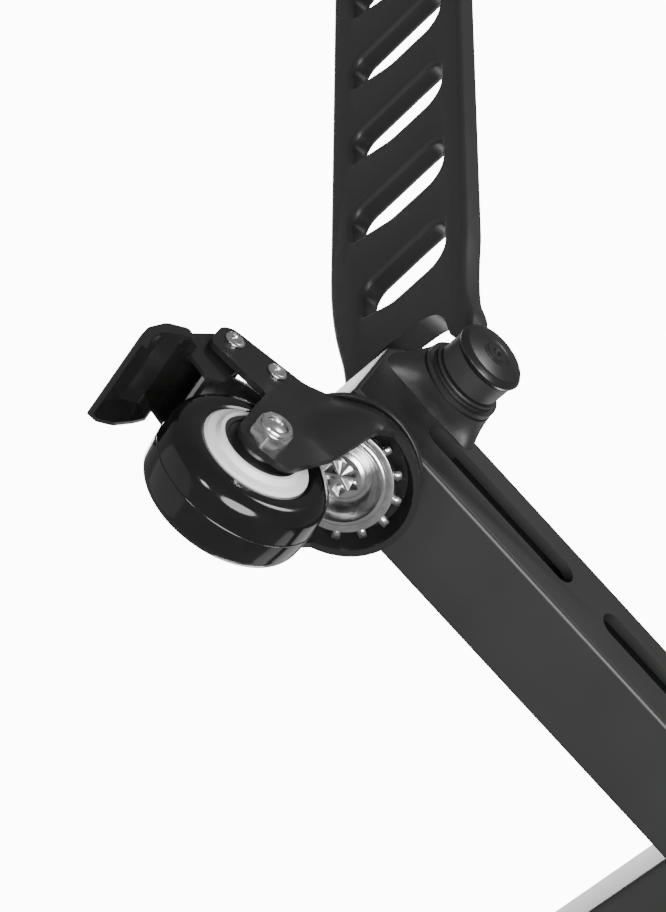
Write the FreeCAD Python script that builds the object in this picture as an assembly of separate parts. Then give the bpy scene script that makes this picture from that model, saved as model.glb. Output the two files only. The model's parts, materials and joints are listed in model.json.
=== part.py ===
"""Wheel dolly: two slotted foot beams on four swivel casters, with a folding lattice upright and rollers.

Frame: +Z up, +Y towards the upright (the end it is pushed from), +X to the right. Z = 0 is the floor and
X = 0 the middle between the beams. Left is the -X side. Every size is in millimetres.
"""
import FreeCAD, Part
import math
import os

V = FreeCAD.Vector

# Fits
RUN = 0.05            # radial clearance of a shaft that turns in a hole
GAP = 0.3             # gap between moving neighbours

# Foot beams, square tube
BEAM_SPACING = 420.0  # centre to centre of the two beams
BEAM_W = 38.0
BEAM_H = 38.0
BEAM_WALL = 3.0
BEAM_CORNER = 1.6
WHEELBASE = 540.0     # rear swivel axis to front swivel axis
BEAM_OVERHANG = 38.0  # beam ahead of the front swivel axis
CAP_LIP = 3.0

# Slots in both side walls of each beam
SLOT_H = 11.4
SLOT_LENGTH = 75.0
SLOT_PITCH = 92.0
SLOT_COUNT = 5
SLOT_Z = 20.8         # slot middle above the beam's underside
SLOT_START = 48.6     # first slot middle behind the rear swivel axis
SLOT_LIP = 1.0        # pressed lip round each slot, proud of the wall inside it
SLOT_LIP_W = 2.2

# Nose and pivot of the upright, measured from the rear swivel axis and the beam's underside
PIVOT_BACK = 8.2      # pivot on the beam's side of the swivel axis
PIVOT_Z = 41.6
PIN_R = 6.0
NOSE_FACE = 18.3      # upright face of the nose behind the swivel axis
NOSE_SLANT = 9.3      # top edge of the slanted face above it
NOSE_REAR = 28.1      # where the nose rises from the beam
NOSE_TOP = 54.3
HORN_LOW = 27.2       # underside of the horn, above the slots
HORN_END = 33.2       # the horn's round end, from the beam's middle plane
HORN_END_R = 14.3
HORN_RIDGE_R = 16.2   # raised ring behind the end
RIDGE_STEP = 1.6
GROOVE_DEPTH = 1.1
GROOVE_W = 0.9

# Cross tube between the beams
CROSS_SIZE = 30.0
CROSS_WALL = 2.0
CROSS_BACK = 200.0    # behind the rear swivel axis
CROSS_LIFT = 3.6      # above the beams' underside
TRAY_HOLE_R = 4.25
TRAY_HOLE_SPACING = 200.0

# Casters
WHEEL_R = 31.5
TREAD_HALF = 13.8
TREAD_EDGE_R = 28.2
HUB_R = 20.3
HUB_HALF = 13.8
SEAT_R = 14.3         # bearing seat in the hub's boss
BOSS_HALF = 17.0      # hub boss, half its length
BEARING_W = 8.0
BEARING_SINK = 0.5
AXLE_R = 4.0
AXLE_DROP = 59.6      # axle below the beam's underside
TRAIL = 26.5          # axle behind the swivel axis
HEX_FLATS = 13.0
HEX_H = 6.0
BOLT_HEAD_H = 5.3
COLLAR_R = 6.0
NUT_COLLAR = 1.9
REAR_YAW = 11.5       # rear casters rest turned in from straight behind
FRONT_YAW = -7.0

# Fork, pressed sheet
SHEET = 2.5
FORK_TOP = 8.5        # top of the fork's head below the beam's underside
HEAD_R = 25.5
SKIRT_R = 30.0
SKIRT_DROP = 19.0     # lower rim of the skirt below the beam's underside
LEG_UPPER = 16.8      # outer face of the legs at the rivets
LEG_LOWER = BOSS_HALF + 0.2 + SHEET
FLARE_TOP = 25.0
FLARE_END = 43.0
WEB_END = 34.0        # the head's web ends here, open to the pedal
KINGPIN_R = 5.0
KINGPIN_HEAD_R = 9.6
RACE_R = 27.0
RACE_DROP = 7.9
BALL_R = 2.0
BALL_PITCH_R = 17.0
BALL_COUNT = 12
RING_R = 20.9
TOOTH_R = 23.6
TOOTH_W = 4.2
TOOTH_COUNT = 10
RING_DROP = 19.2

# Brake pedal and its rivets, in the fork's side view: (behind the swivel axis, below the beam)
PEDAL_PIVOT = (56.9, 15.6)
LEAF_PIVOT = (38.7, 15.3)
RIVET_R = 2.9
RIVET_HEAD_R = 3.83
RIVET_HEAD_H = 1.3
PEDAL_SHEET = 1.5
PEDAL_NECK = 13.9
PEDAL_HOOD = 18.4
LEAF_SHEET = 1.2
LEAF_HALF = 8.0

# Upright: lattice frames, handle
LEAN = 24.5           # from vertical, away from the beams
LATTICE_HALF = 38.5
LATTICE_DEPTH = 10.0
RAIL_W = 12.0
RUNG_H = 24.0
RUNG_PITCH = 51.0
RUNG_COUNT = 6
FIRST_RUNG = 45.0     # underside of the lowest rung above the pivot
WINDOW_CORNER = 9.0
EYE_R = 13.3
EYE_INNER = HORN_END + 0.8   # outer eye, from the beam's middle plane
EYE_OUTER = 42.4
LUG_W = 10.0
SOCKET_R = 16.5
SOCKET_H = 46.0
HANDLE_R = 12.5
HANDLE_WALL = 2.0
HANDLE_REACH = 850.0  # pivot to the handle's bar, along the upright
HANDLE_BEND = 70.0
HANDLE_INSERT = 40.0
GRIP_R = 16.5
GRIP_LENGTH = 220.0
SCREW_R = 3.0

# Push button that frees the upright, on the pivot's outer end
BUTTON_RIM_R = 14.3
BUTTON_GAP = 0.9
BUTTON_H = 4.6
BUTTON_TRAVEL = 2.0

# Roller carriages
CARRIAGE_LENGTH = 260.0
CARRIAGE_BAR = 5.0
CARRIAGE_H = 32.0
ROLLER_R = 18.0
ROLLER_Z = 26.0       # roller axis above the beam's underside
ROLLER_AXLE_R = 6.0
ROLLER_WALL = 3.0
CLAMP_BOLT_R = 4.0
CLAMP_WASHER_R = 9.5
CLAMP_WASHER_H = 1.6
BOLTED_SLOTS = (3, 4)

# Derived places
HALF_SPACING = BEAM_SPACING / 2
DECK = WHEEL_R + AXLE_DROP
FRONT_REACH = WHEELBASE + BEAM_OVERHANG + CAP_LIP
REAR_REACH = HANDLE_REACH * math.sin(math.radians(LEAN)) - PIVOT_BACK + GRIP_R
REAR_Y = (FRONT_REACH - REAR_REACH) / 2
FRONT_Y = REAR_Y - WHEELBASE
PIVOT_Y = REAR_Y - PIVOT_BACK
PIVOT_HEIGHT = DECK + PIVOT_Z
LATTICE_TOP = FIRST_RUNG + (RUNG_COUNT - 1) * RUNG_PITCH + RUNG_H


def corner_edges(points, place):
    """Edges of a closed outline. Each point is (u, v, corner radius); place turns (u, v) into a vector."""
    starts, ends, arcs = [], [], []
    count = len(points)
    for i in range(count):
        u, v, radius = points[i]
        before = points[i - 1]
        after = points[(i + 1) % count]
        to_before = V(before[0] - u, before[1] - v, 0).normalize()
        to_after = V(after[0] - u, after[1] - v, 0).normalize()
        if radius <= 0:
            starts.append((u, v))
            ends.append((u, v))
            arcs.append(None)
            continue
        half = to_before.getAngle(to_after) / 2
        reach = radius / math.tan(half)
        first = V(u, v, 0) + to_before * reach
        last = V(u, v, 0) + to_after * reach
        bisector = (to_before + to_after).normalize()
        middle = V(u, v, 0) + bisector * (radius / math.sin(half) - radius)
        starts.append((first.x, first.y))
        ends.append((last.x, last.y))
        arcs.append((middle.x, middle.y))
    edges = []
    for i in range(count):
        if arcs[i]:
            edges.append(Part.Arc(place(*starts[i]), place(*arcs[i]), place(*ends[i])).toShape())
        following = (i + 1) % count
        a, b = place(*ends[i]), place(*starts[following])
        if a.distanceToPoint(b) > 0.001:
            edges.append(Part.makeLine(a, b))
    return edges


def prism(points, place, direction):
    """A solid of the outline pushed along direction, which is a vector of the full thickness."""
    wire = Part.Wire(corner_edges(points, place))
    return Part.Face(wire).extrude(direction)


def side_block(points, half):
    """Outline in the caster's side view, as thick as -half to half."""
    return prism(points, lambda u, v: V(u, -half, -v), V(0, 2 * half, 0))


def turned(points, centre, axis, radial):
    """A solid of revolution. Each point is (radius, height along axis, corner radius)."""
    wire = Part.Wire(corner_edges(points, lambda r, h: centre + radial * r + axis * h))
    return Part.Face(wire).revolve(centre, axis, 360)


def rod(radius, start, end):
    """A cylinder from one point to another."""
    return Part.makeCylinder(radius, start.distanceToPoint(end), start, end - start)


def hexagon(flats, start, direction):
    """A hexagonal prism with its corners eased, from start along direction."""
    height = direction.Length
    length = flats / math.sqrt(3)
    ring = [V(length * math.cos(math.pi / 3 * i), length * math.sin(math.pi / 3 * i), 0) for i in range(7)]
    solid = Part.Face(Part.makePolygon(ring)).extrude(V(0, 0, height))
    face_r = flats / 2 - 0.2
    bevel = (length - face_r) * 0.55
    cone = turned([(0, 0, 0), (face_r, 0, 0), (length, bevel, 0), (length, height - bevel, 0),
                   (face_r, height, 0), (0, height, 0)], V(0, 0, 0), V(0, 0, 1), V(1, 0, 0))
    solid = solid.common(cone)
    solid.Placement = FreeCAD.Placement(start, FreeCAD.Rotation(V(0, 0, 1), direction))
    return solid


def fused(shapes):
    """One shape of all of them, with the seams between coplanar faces removed."""
    whole = shapes[0]
    if len(shapes) > 1:
        whole = whole.fuse(shapes[1:])
    return whole.removeSplitter()


def box(low, high):
    """A box between two corners."""
    return Part.makeBox(high[0] - low[0], high[1] - low[1], high[2] - low[2], V(*low))


# Casters, built with the swivel axis at the origin, +X behind, +Y towards the nut and the beam above Z = 0

AXLE = V(TRAIL, 0, -AXLE_DROP)
Y_AXIS = V(0, 1, 0)
Z_AXIS = V(0, 0, 1)
X_AXIS = V(1, 0, 0)


def about_axle(points):
    """A wheel part: each point is (radius, distance from the wheel's middle plane, corner radius)."""
    return turned(points, AXLE, Y_AXIS, X_AXIS)


def both_ends(outline):
    """The outline of a part that is the same on both sides of its middle plane."""
    mirrored = [(r, -h, c) for r, h, c in reversed(outline)]
    return outline + mirrored


def make_tyre():
    crown = 4.6
    edge = TREAD_HALF
    return about_axle(both_ends([
        (HUB_R, edge - 0.7, 0),
        (HUB_R + 1.6, edge, 0.4),
        (TREAD_EDGE_R - 3.2, edge, 1.2),
        (TREAD_EDGE_R + 0.6, edge - 1.0, 3.2),
        (WHEEL_R, edge - crown * 1.55, 7.0)]))


def make_hub():
    return about_axle(both_ends([
        (AXLE_R + 2.6, BOSS_HALF - BEARING_W, 0),
        (SEAT_R, BOSS_HALF - BEARING_W, 0),
        (SEAT_R, BOSS_HALF, 0),
        (SEAT_R + 1.4, BOSS_HALF, 0.6),
        (SEAT_R + 2.3, HUB_HALF + 0.9, 0.5),
        (HUB_R - 0.9, HUB_HALF + 0.5, 0.4),
        (HUB_R - 0.02, HUB_HALF - 0.4, 0)]))


def make_bearings():
    outer = BOSS_HALF - BEARING_SINK
    inner = BOSS_HALF - BEARING_W + 0.02
    race_r = SEAT_R - 0.02
    solids = []
    for side in (1, -1):
        solids.append(about_axle([
            (AXLE_R + RUN, side * inner, 0), (race_r, side * inner, 0), (race_r, side * outer, 0),
            (SEAT_R - 1.6, side * outer, 0), (SEAT_R - 2.2, side * (outer - 0.6), 0),
            (AXLE_R + 3.4, side * (outer - 0.6), 0), (AXLE_R + 2.9, side * BOSS_HALF, 0),
            (AXLE_R + RUN, side * BOSS_HALF, 0)]))
    spacer = about_axle([(AXLE_R + RUN, -inner, 0), (AXLE_R + 1.6, -inner, 0), (AXLE_R + 1.6, inner, 0),
                         (AXLE_R + RUN, inner, 0)])
    return Part.makeCompound(solids + [spacer])


def make_axle_bolt():
    end = LEG_LOWER + HEX_H + NUT_COLLAR - 0.7
    shank = rod(AXLE_R, AXLE - Y_AXIS * LEG_LOWER, AXLE + Y_AXIS * end)
    shank = shank.makeChamfer(0.6, [edge for edge in shank.Edges if edge.BoundBox.YMin > end - 0.01])
    head = hexagon(HEX_FLATS, AXLE - Y_AXIS * LEG_LOWER, Y_AXIS * -BOLT_HEAD_H)
    return fused([shank, head])


def make_lock_nut():
    nut = hexagon(HEX_FLATS, AXLE + Y_AXIS * LEG_LOWER, Y_AXIS * HEX_H)
    top = LEG_LOWER + HEX_H
    collar = about_axle([(0, top - 0.6, 0), (COLLAR_R, top - 0.6, 0), (COLLAR_R, top + NUT_COLLAR, 0.9),
                         (COLLAR_R - 1.8, top + NUT_COLLAR, 0), (0, top + NUT_COLLAR, 0)])
    bore = rod(AXLE_R + RUN, AXLE, AXLE + Y_AXIS * (top + 4))
    return fused([nut, collar]).cut(bore)


def plan_wire(head_radius, half_width, depth):
    """The fork's plan outline at one depth below the beam: round head, drawn in to two parallel legs."""
    rear = 70.0
    straight = 30.0
    z = -depth
    side = [V(straight, half_width, z), V(straight - 13, half_width, z),
            V(head_radius * 0.45, head_radius, z), V(0, head_radius, z)]
    curves = []
    for sign in (1, -1):
        curve = Part.BezierCurve()
        curve.setPoles([V(p.x, p.y * sign, p.z) for p in side])
        curves.append(curve.toShape())
    head = Part.Arc(V(0, head_radius, z), V(-head_radius, 0, z), V(0, -head_radius, z)).toShape()
    lines = [Part.makeLine(V(rear, sign * half_width, z), V(straight, sign * half_width, z))
             for sign in (1, -1)]
    back = Part.makeLine(V(rear, -half_width, z), V(rear, half_width, z))
    return Part.Wire([back, lines[0], curves[0], head, curves[1], lines[1]])


def drawn_shape(inset, top):
    """The fork's outside, or with an inset its inside, as a solid from depth top to below the axle."""
    flare_middle = (FLARE_TOP + FLARE_END) / 2
    stations = [(top, HEAD_R, LEG_UPPER), (top + 4.0, HEAD_R + (SKIRT_R - HEAD_R) * 0.55, LEG_UPPER),
                (SKIRT_DROP, SKIRT_R, LEG_UPPER), (FLARE_TOP, SKIRT_R, LEG_UPPER + 0.1),
                (flare_middle, (SKIRT_R + LEG_LOWER) / 2, (LEG_UPPER + LEG_LOWER) / 2),
                (FLARE_END, LEG_LOWER, LEG_LOWER), (AXLE_DROP + 12, LEG_LOWER, LEG_LOWER)]
    wires = [plan_wire(radius - inset, width - inset, depth) for depth, radius, width in stations]
    return Part.makeLoft(wires, True, True)


def fork_outline(legs_only):
    """Side view of the fork, (behind, below, corner radius)."""
    reach = PEDAL_PIVOT[0]
    tail = [(reach + 6.8, FORK_TOP + 0.6, 6.0), (reach + 6.8, PEDAL_PIVOT[1] + 9.0, 4.0),
            (reach - 9.5, 29.6, 0)]
    if not legs_only:
        tail = [(WEB_END, FORK_TOP - 1, 0), (WEB_END, 29.0, 0)]
    lower = [(TRAIL + 10.2, 32.4, 3.5), (TRAIL + 10.2, AXLE_DROP + 7.2, 7.5),
             (TRAIL - 12.0, AXLE_DROP + 7.2, 7.5), (-1.5, FLARE_TOP + 1.0, 9.0), (-7.0, SKIRT_DROP, 0),
             (-SKIRT_R - 4, SKIRT_DROP, 0), (-SKIRT_R - 4, FORK_TOP - 1, 0)]
    top = [] if not legs_only else [(20.0, FORK_TOP - 1, 0), (30.0, FORK_TOP + 1.2, 12.0)]
    return lower + top + tail


def make_fork(with_tail):
    shell = drawn_shape(0.0, FORK_TOP).cut(drawn_shape(SHEET, FORK_TOP + SHEET))
    fork = shell.common(side_block(fork_outline(with_tail), SKIRT_R + 8))
    slot_half = PEDAL_NECK + GAP
    mouth = WEB_END + slot_half
    low, high = -FORK_TOP - SHEET - 1, -FORK_TOP + 1
    opening = [box((mouth, -slot_half, low), (mouth + 2 * SKIRT_R, slot_half, high)),
               rod(slot_half, V(mouth, 0, low), V(mouth, 0, high))]
    fork = fork.cut(opening)
    holes = [rod(KINGPIN_R + RUN, V(0, 0, -FORK_TOP - 9), V(0, 0, 0)),
             rod(AXLE_R + RUN, AXLE - Y_AXIS * 40, AXLE + Y_AXIS * 40)]
    if with_tail:
        for behind, below in (PEDAL_PIVOT, LEAF_PIVOT):
            holes.append(rod(RIVET_R + 0.02, V(behind, -40, -below), V(behind, 40, -below)))
    groove = Part.makeTorus(BALL_PITCH_R, BALL_R + RUN, V(0, 0, -ball_depth()))
    return fork.cut(holes + [groove])


def ball_depth():
    """The balls' middle plane below the beam, halfway between the race and the fork."""
    return (RACE_DROP + FORK_TOP) / 2


def make_race():
    race = turned([(KINGPIN_R + 0.02, 0, 0), (RACE_R - 7, 0, 0), (RACE_R - 3.5, -2.0, 1.5),
                   (RACE_R, -5.4, 2.0), (RACE_R, -RACE_DROP, 0.4), (KINGPIN_R + 0.02, -RACE_DROP, 0)],
                  V(0, 0, 0), Z_AXIS, X_AXIS)
    return race.cut(Part.makeTorus(BALL_PITCH_R, BALL_R + RUN, V(0, 0, -ball_depth())))


def make_balls():
    step = 2 * math.pi / BALL_COUNT
    return Part.makeCompound([
        Part.makeSphere(BALL_R, V(BALL_PITCH_R * math.cos(i * step), BALL_PITCH_R * math.sin(i * step),
                                  -ball_depth())) for i in range(BALL_COUNT)])


def make_lock_ring():
    web = FORK_TOP + SHEET + GAP
    dish = turned([(KINGPIN_R + 0.02, -web, 0), (KINGPIN_HEAD_R + 3, -web, 0),
                   (RING_R - 3.4, -RING_DROP + 2.6, 1.0), (RING_R, -RING_DROP + 2.6, 0.6),
                   (RING_R, -RING_DROP + 0.6, 0.4), (RING_R - 2.6, -RING_DROP, 0.5),
                   (RING_R - 5.0, -RING_DROP + 0.3, 0.8), (KINGPIN_HEAD_R + 1.2, -web - 2.6, 0.6),
                   (KINGPIN_R + 0.02, -web - 2.6, 0)], V(0, 0, 0), Z_AXIS, X_AXIS)
    teeth = []
    for i in range(TOOTH_COUNT):
        tooth = box((RING_R - 1.5, -TOOTH_W / 2, -RING_DROP + 0.6), (TOOTH_R, TOOTH_W / 2, -RING_DROP + 2.5))
        tooth.rotate(V(0, 0, 0), Z_AXIS, 360.0 / TOOTH_COUNT * (i + 0.35))
        teeth.append(tooth)
    return fused([dish] + teeth)


def make_kingpin():
    seat = -(FORK_TOP + SHEET + GAP + 2.6)
    pin = turned([(0, 9.0, 0), (KINGPIN_R, 9.0, 0.8), (KINGPIN_R, seat, 0), (KINGPIN_HEAD_R, seat, 0.5),
                  (KINGPIN_HEAD_R, seat - 2.2, 1.0), (KINGPIN_HEAD_R - 1.6, seat - 3.0, 0),
                  (0, seat - 3.0, 0)],
                 V(0, 0, 0), Z_AXIS, X_AXIS)
    floor = seat - 3.0
    facets = []
    for i in range(6):
        turn = math.pi / 3 * i
        reach = KINGPIN_HEAD_R - 1.7
        tip = V(reach * math.cos(turn), reach * math.sin(turn), floor - 0.01)
        wing = 0.42
        left = V(reach * 0.75 * math.cos(turn + wing), reach * 0.75 * math.sin(turn + wing), floor - 0.01)
        right = V(reach * 0.75 * math.cos(turn - wing), reach * 0.75 * math.sin(turn - wing), floor - 0.01)
        hub = V(0.8 * math.cos(turn), 0.8 * math.sin(turn), floor - 0.01)
        deep = V(reach * 0.62 * math.cos(turn), reach * 0.62 * math.sin(turn), floor + 2.0)
        base = [hub, left, tip, right]
        faces = [Part.Face(Part.makePolygon(base + [hub]))]
        for k in range(4):
            faces.append(Part.Face(Part.makePolygon([base[k], base[(k + 1) % 4], deep, base[k]])))
        facets.append(Part.makeSolid(Part.makeShell(faces)))
    return pin.cut(facets)


def pedal_neck(inset):
    """Side outline of the pedal's neck, or with an inset of the hollow inside it."""
    pivot, drop = PEDAL_PIVOT
    if inset:
        return [(pivot - 20, drop - 5.4 + inset, 0), (pivot + 3.4, drop - 5.4 + inset, 3.0),
                (pivot + 15.0, drop + 13.8, 0), (pivot + 2.0, drop + 45, 0), (pivot - 20, drop + 45, 0)]
    return [(pivot - 7.6, drop - 5.4, 2.0), (pivot + 4.4, drop - 5.4, 4.0), (pivot + 16.3, drop + 13.4, 0),
            (pivot + 8.1, drop + 20.2, 0), (pivot - 1.4, drop + 25.4, 2.5), (pivot - 6.4, drop + 21.6, 2.5),
            (pivot - 7.6, drop + 6.5, 2.0)]


def pedal_hood(inset):
    """Side outline of the pedal's hood, or with an inset of the hollow inside it."""
    pivot, drop = PEDAL_PIVOT
    if inset:
        return [(pivot + 13.5, drop + 16.0, 1.0), (pivot + 19.8, drop + 21.4, 4.5),
                (pivot + 23.2, drop + 30.4, 5.0),
                (pivot + 23.0, drop + 37.6, 1.0), (pivot + 14.0, drop + 60, 0), (pivot - 8, drop + 40, 0)]
    return [(pivot + 14.0, drop + 14.0, 2.0), (pivot + 21.2, drop + 20.4, 6.0),
            (pivot + 24.7, drop + 30.2, 6.0),
            (pivot + 24.5, drop + 39.1, 1.0), (pivot + 20.0, drop + 39.7, 1.5),
            (pivot + 15.0, drop + 35.4, 3.0),
            (pivot + 10.6, drop + 27.0, 3.0), (pivot + 8.0, drop + 20.2, 0)]


def make_pedal():
    neck = side_block(pedal_neck(0),
                      PEDAL_NECK).cut(side_block(pedal_neck(PEDAL_SHEET), PEDAL_NECK - PEDAL_SHEET))
    hood = side_block(pedal_hood(0),
                      PEDAL_HOOD).cut(side_block(pedal_hood(PEDAL_SHEET), PEDAL_HOOD - PEDAL_SHEET))
    throat = side_block(pedal_neck(PEDAL_SHEET), PEDAL_NECK - PEDAL_SHEET)
    pedal = fused([neck, hood.cut(throat)])
    behind, below = PEDAL_PIVOT
    return pedal.cut(rod(RIVET_R + RUN, V(behind, -40, -below), V(behind, 40, -below)))


def make_rivets():
    solids = []
    for behind, below in (PEDAL_PIVOT, LEAF_PIVOT):
        centre = V(behind, 0, -below)
        shaft = rod(RIVET_R, centre - Y_AXIS * LEG_UPPER, centre + Y_AXIS * LEG_UPPER)
        heads = []
        for side in (1, -1):
            top = LEG_UPPER + RIVET_HEAD_H
            heads.append(turned([(0, side * LEG_UPPER, 0), (RIVET_HEAD_R, side * LEG_UPPER, 0),
                                 (RIVET_HEAD_R, side * (top - 0.5), 0), (RIVET_HEAD_R - 0.8, side * top, 0),
                                 (1.9, side * top, 0), (1.3, side * (top - 0.9), 0),
                                 (0, side * (top - 0.7), 0)],
                                centre, Y_AXIS, X_AXIS))
        solids.append(fused([shaft] + heads))
    return Part.makeCompound(solids)


def make_leaf():
    behind, below = LEAF_PIVOT
    ring_r = RIVET_R + RUN + LEAF_SHEET
    curl = rod(ring_r, V(behind, -LEAF_HALF, -below), V(behind, LEAF_HALF, -below))
    foot = below + ring_r
    strip = side_block([(behind - 0.5, foot - LEAF_SHEET, 0), (behind + 6, foot - LEAF_SHEET, 0),
                        (behind + 17.6, foot + 3.2, 0), (behind + 19.6, foot + 8.6, 0),
                        (behind + 18.2, foot + 8.9, 0), (behind + 16.6, foot + 4.2, 0),
                        (behind + 5.8, foot, 0),
                        (behind - 0.5, foot, 0)], LEAF_HALF)
    hole = rod(RIVET_R + RUN, V(behind, -40, -below), V(behind, 40, -below))
    return fused([curl, strip]).cut(hole)


def on_caster(shape, y, yaw):
    """Puts a part built round the swivel axis under the left beam, turned by yaw from straight behind."""
    placed = shape.copy()
    placed.rotate(V(0, 0, 0), Z_AXIS, 90 - yaw)
    placed.translate(V(-HALF_SPACING, y, DECK))
    return placed


def other_side(shape):
    """The same part on the right, as its mirror image."""
    return shape.mirror(V(0, 0, 0), X_AXIS)


# Beams, seen from the left beam's own middle plane: out is towards -X, the outer face of the left beam

def nose_sides():
    """Flat sides of the nose in side view about the pivot: (direction of the normal in degrees, distance)."""
    slant = math.atan2(NOSE_FACE - NOSE_SLANT, NOSE_TOP - BEAM_H)
    slant_reach = (NOSE_FACE + PIVOT_BACK) * math.cos(slant) + (BEAM_H - PIVOT_Z) * math.sin(slant)
    return [(0, NOSE_FACE + PIVOT_BACK), (math.degrees(slant), slant_reach), (90, NOSE_TOP - PIVOT_Z),
            (172, NOSE_REAR - PIVOT_BACK), (270, PIVOT_Z - HORN_LOW)]


def nose_section(out, inset, blend, radius):
    """A section of the horn across the pivot's axis: the nose's side view at blend 0, a circle at blend 1."""
    points = []
    count = 40
    sharpness = 9.0
    for i in range(count):
        turn = 2 * math.pi * i / count
        total = 0.0
        for normal, distance in nose_sides():
            total += max(0.0, math.cos(turn - math.radians(normal)) / (distance - inset)) ** sharpness
        flat_reach = total ** (-1 / sharpness)
        reach = flat_reach + (radius - flat_reach) * blend
        points.append(V(-out, -PIVOT_BACK + reach * math.cos(turn), PIVOT_Z + reach * math.sin(turn)))
    curve = Part.BSplineCurve()
    curve.interpolate(points, PeriodicFlag=True)
    return Part.Wire([curve.toShape()])


def make_nose():
    """The cast end of a beam: a block across the beam, and a horn that tapers to a round end at the pivot."""
    half = BEAM_W / 2
    profile = [(-NOSE_REAR, 0, 0), (NOSE_FACE, 0, 1.0), (NOSE_FACE, BEAM_H, 2.5), (NOSE_SLANT, NOSE_TOP, 6.0),
               (-NOSE_REAR + 2.4, NOSE_TOP, 5.0), (-NOSE_REAR, BEAM_H, 0)]
    block = prism(profile, lambda u, v: V(-half, u, v), V(BEAM_W, 0, 0))
    outline = [edge for edge in block.Edges if edge.BoundBox.XLength < 0.01 and edge.BoundBox.ZMax > 0.5
               and edge.BoundBox.YMax > -NOSE_REAR + 0.5]
    block = block.makeFillet(BEAM_CORNER - 0.1, outline)
    reach = HORN_END - half
    stations = [(half - 3.0, 1.2, 0.0), (half - 0.6, 1.0, 0.02), (half + reach * 0.16, 1.2, 0.22),
                (half + reach * 0.42, 1.0, 0.66), (half + reach * 0.66, 0.8, 0.93)]
    sections = [nose_section(out, inset, blend, HORN_RIDGE_R) for out, inset, blend in stations]
    sections.append(nose_section(HORN_END - RIDGE_STEP * 1.6, 0, 1.0, HORN_RIDGE_R))
    horn = Part.makeLoft(sections, True, False)
    end = turned([(0, half, 0), (HORN_END_R, half, 0), (HORN_END_R, HORN_END, 0.6), (0, HORN_END, 0)],
                 V(0, -PIVOT_BACK, PIVOT_Z), V(-1, 0, 0), Z_AXIS)
    return fused([block, horn, end])


def slot_outline(length, height):
    """A slot with round ends in a beam's side wall: an outline of (y, z, corner radius) about its middle."""
    return [(-length / 2, -height / 2, height / 2 - 0.01), (length / 2, -height / 2, height / 2 - 0.01),
            (length / 2, height / 2, height / 2 - 0.01), (-length / 2, height / 2, height / 2 - 0.01)]


def slot_block(y, low_x, high_x, grow):
    outline = slot_outline(SLOT_LENGTH + 2 * grow, SLOT_H + 2 * grow)
    return prism(outline, lambda u, v: V(low_x, y + u, SLOT_Z + v), V(high_x - low_x, 0, 0))


def slot_middle(index):
    return -SLOT_START - SLOT_PITCH * index


def make_beam():
    half = BEAM_W / 2
    front = -WHEELBASE - BEAM_OVERHANG
    rear = -NOSE_REAR + 6
    outline = [(-half, 0, BEAM_CORNER), (half, 0, BEAM_CORNER), (half, BEAM_H, BEAM_CORNER),
               (-half, BEAM_H, BEAM_CORNER)]
    tube = prism(outline, lambda u, v: V(u, front, v), V(0, rear - front, 0))
    inner_half = half - BEAM_WALL
    inner = [(-inner_half, BEAM_WALL, 1.5), (inner_half, BEAM_WALL, 1.5),
             (inner_half, BEAM_H - BEAM_WALL, 1.5),
             (-inner_half, BEAM_H - BEAM_WALL, 1.5)]
    hollow_end = -NOSE_REAR + 2
    hollow = prism(inner, lambda u, v: V(u, front - 1, v), V(0, hollow_end - front + 1, 0))
    beam = fused([tube, make_nose()])
    lips = []
    for index in range(SLOT_COUNT):
        y = slot_middle(index)
        for low_x, high_x in ((-inner_half, -inner_half + SLOT_LIP), (inner_half - SLOT_LIP, inner_half)):
            lips.append(slot_block(y, low_x, high_x, SLOT_LIP_W))
    beam = fused([beam.cut(hollow)] + lips)
    cuts = [slot_block(slot_middle(index), -half - 1, half + 1, 0) for index in range(SLOT_COUNT)]
    cuts.append(rod(PIN_R + 0.02, V(-HORN_END - 1, -PIVOT_BACK, PIVOT_Z), V(half + 1, -PIVOT_BACK, PIVOT_Z)))
    for y, top in ((0, 9.5), (-WHEELBASE, BEAM_WALL + 1)):
        cuts.append(rod(KINGPIN_R + 0.02, V(0, y, -1), V(0, y, top)))
    ridge_end = HORN_END - RIDGE_STEP * 1.6
    for start in (ridge_end - RIDGE_STEP - GROOVE_W, ridge_end + RIDGE_STEP * 0.5):
        radius = (HORN_RIDGE_R if start < ridge_end else HORN_END_R) - GROOVE_DEPTH
        outer = HORN_RIDGE_R + 3
        cuts.append(turned([(radius, start, 0), (outer, start, 0), (outer, start + GROOVE_W, 0),
                            (radius, start + GROOVE_W, 0)], V(0, -PIVOT_BACK, PIVOT_Z), V(-1, 0, 0), Z_AXIS))
    return beam.cut(cuts)


def on_left_beam(shape):
    """Puts a part built round the rear swivel axis and the beam's underside on the left beam."""
    placed = shape.copy()
    placed.translate(V(-HALF_SPACING, REAR_Y, DECK))
    return placed


def make_front_cap():
    half = BEAM_W / 2
    face = -WHEELBASE - BEAM_OVERHANG
    plate = prism([(-half, 0, BEAM_CORNER), (half, 0, BEAM_CORNER), (half, BEAM_H, BEAM_CORNER),
                   (-half, BEAM_H, BEAM_CORNER)], lambda u, v: V(u, face - CAP_LIP, v), V(0, CAP_LIP, 0))
    inside = half - BEAM_WALL - 0.05
    low, high = BEAM_WALL + 0.05, BEAM_H - BEAM_WALL - 0.05
    plug = prism([(-inside, low, 1.5), (inside, low, 1.5), (inside, high, 1.5), (-inside, high, 1.5)],
                 lambda u, v: V(u, face, v), V(0, 12, 0))
    return fused([plate, plug])


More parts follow.
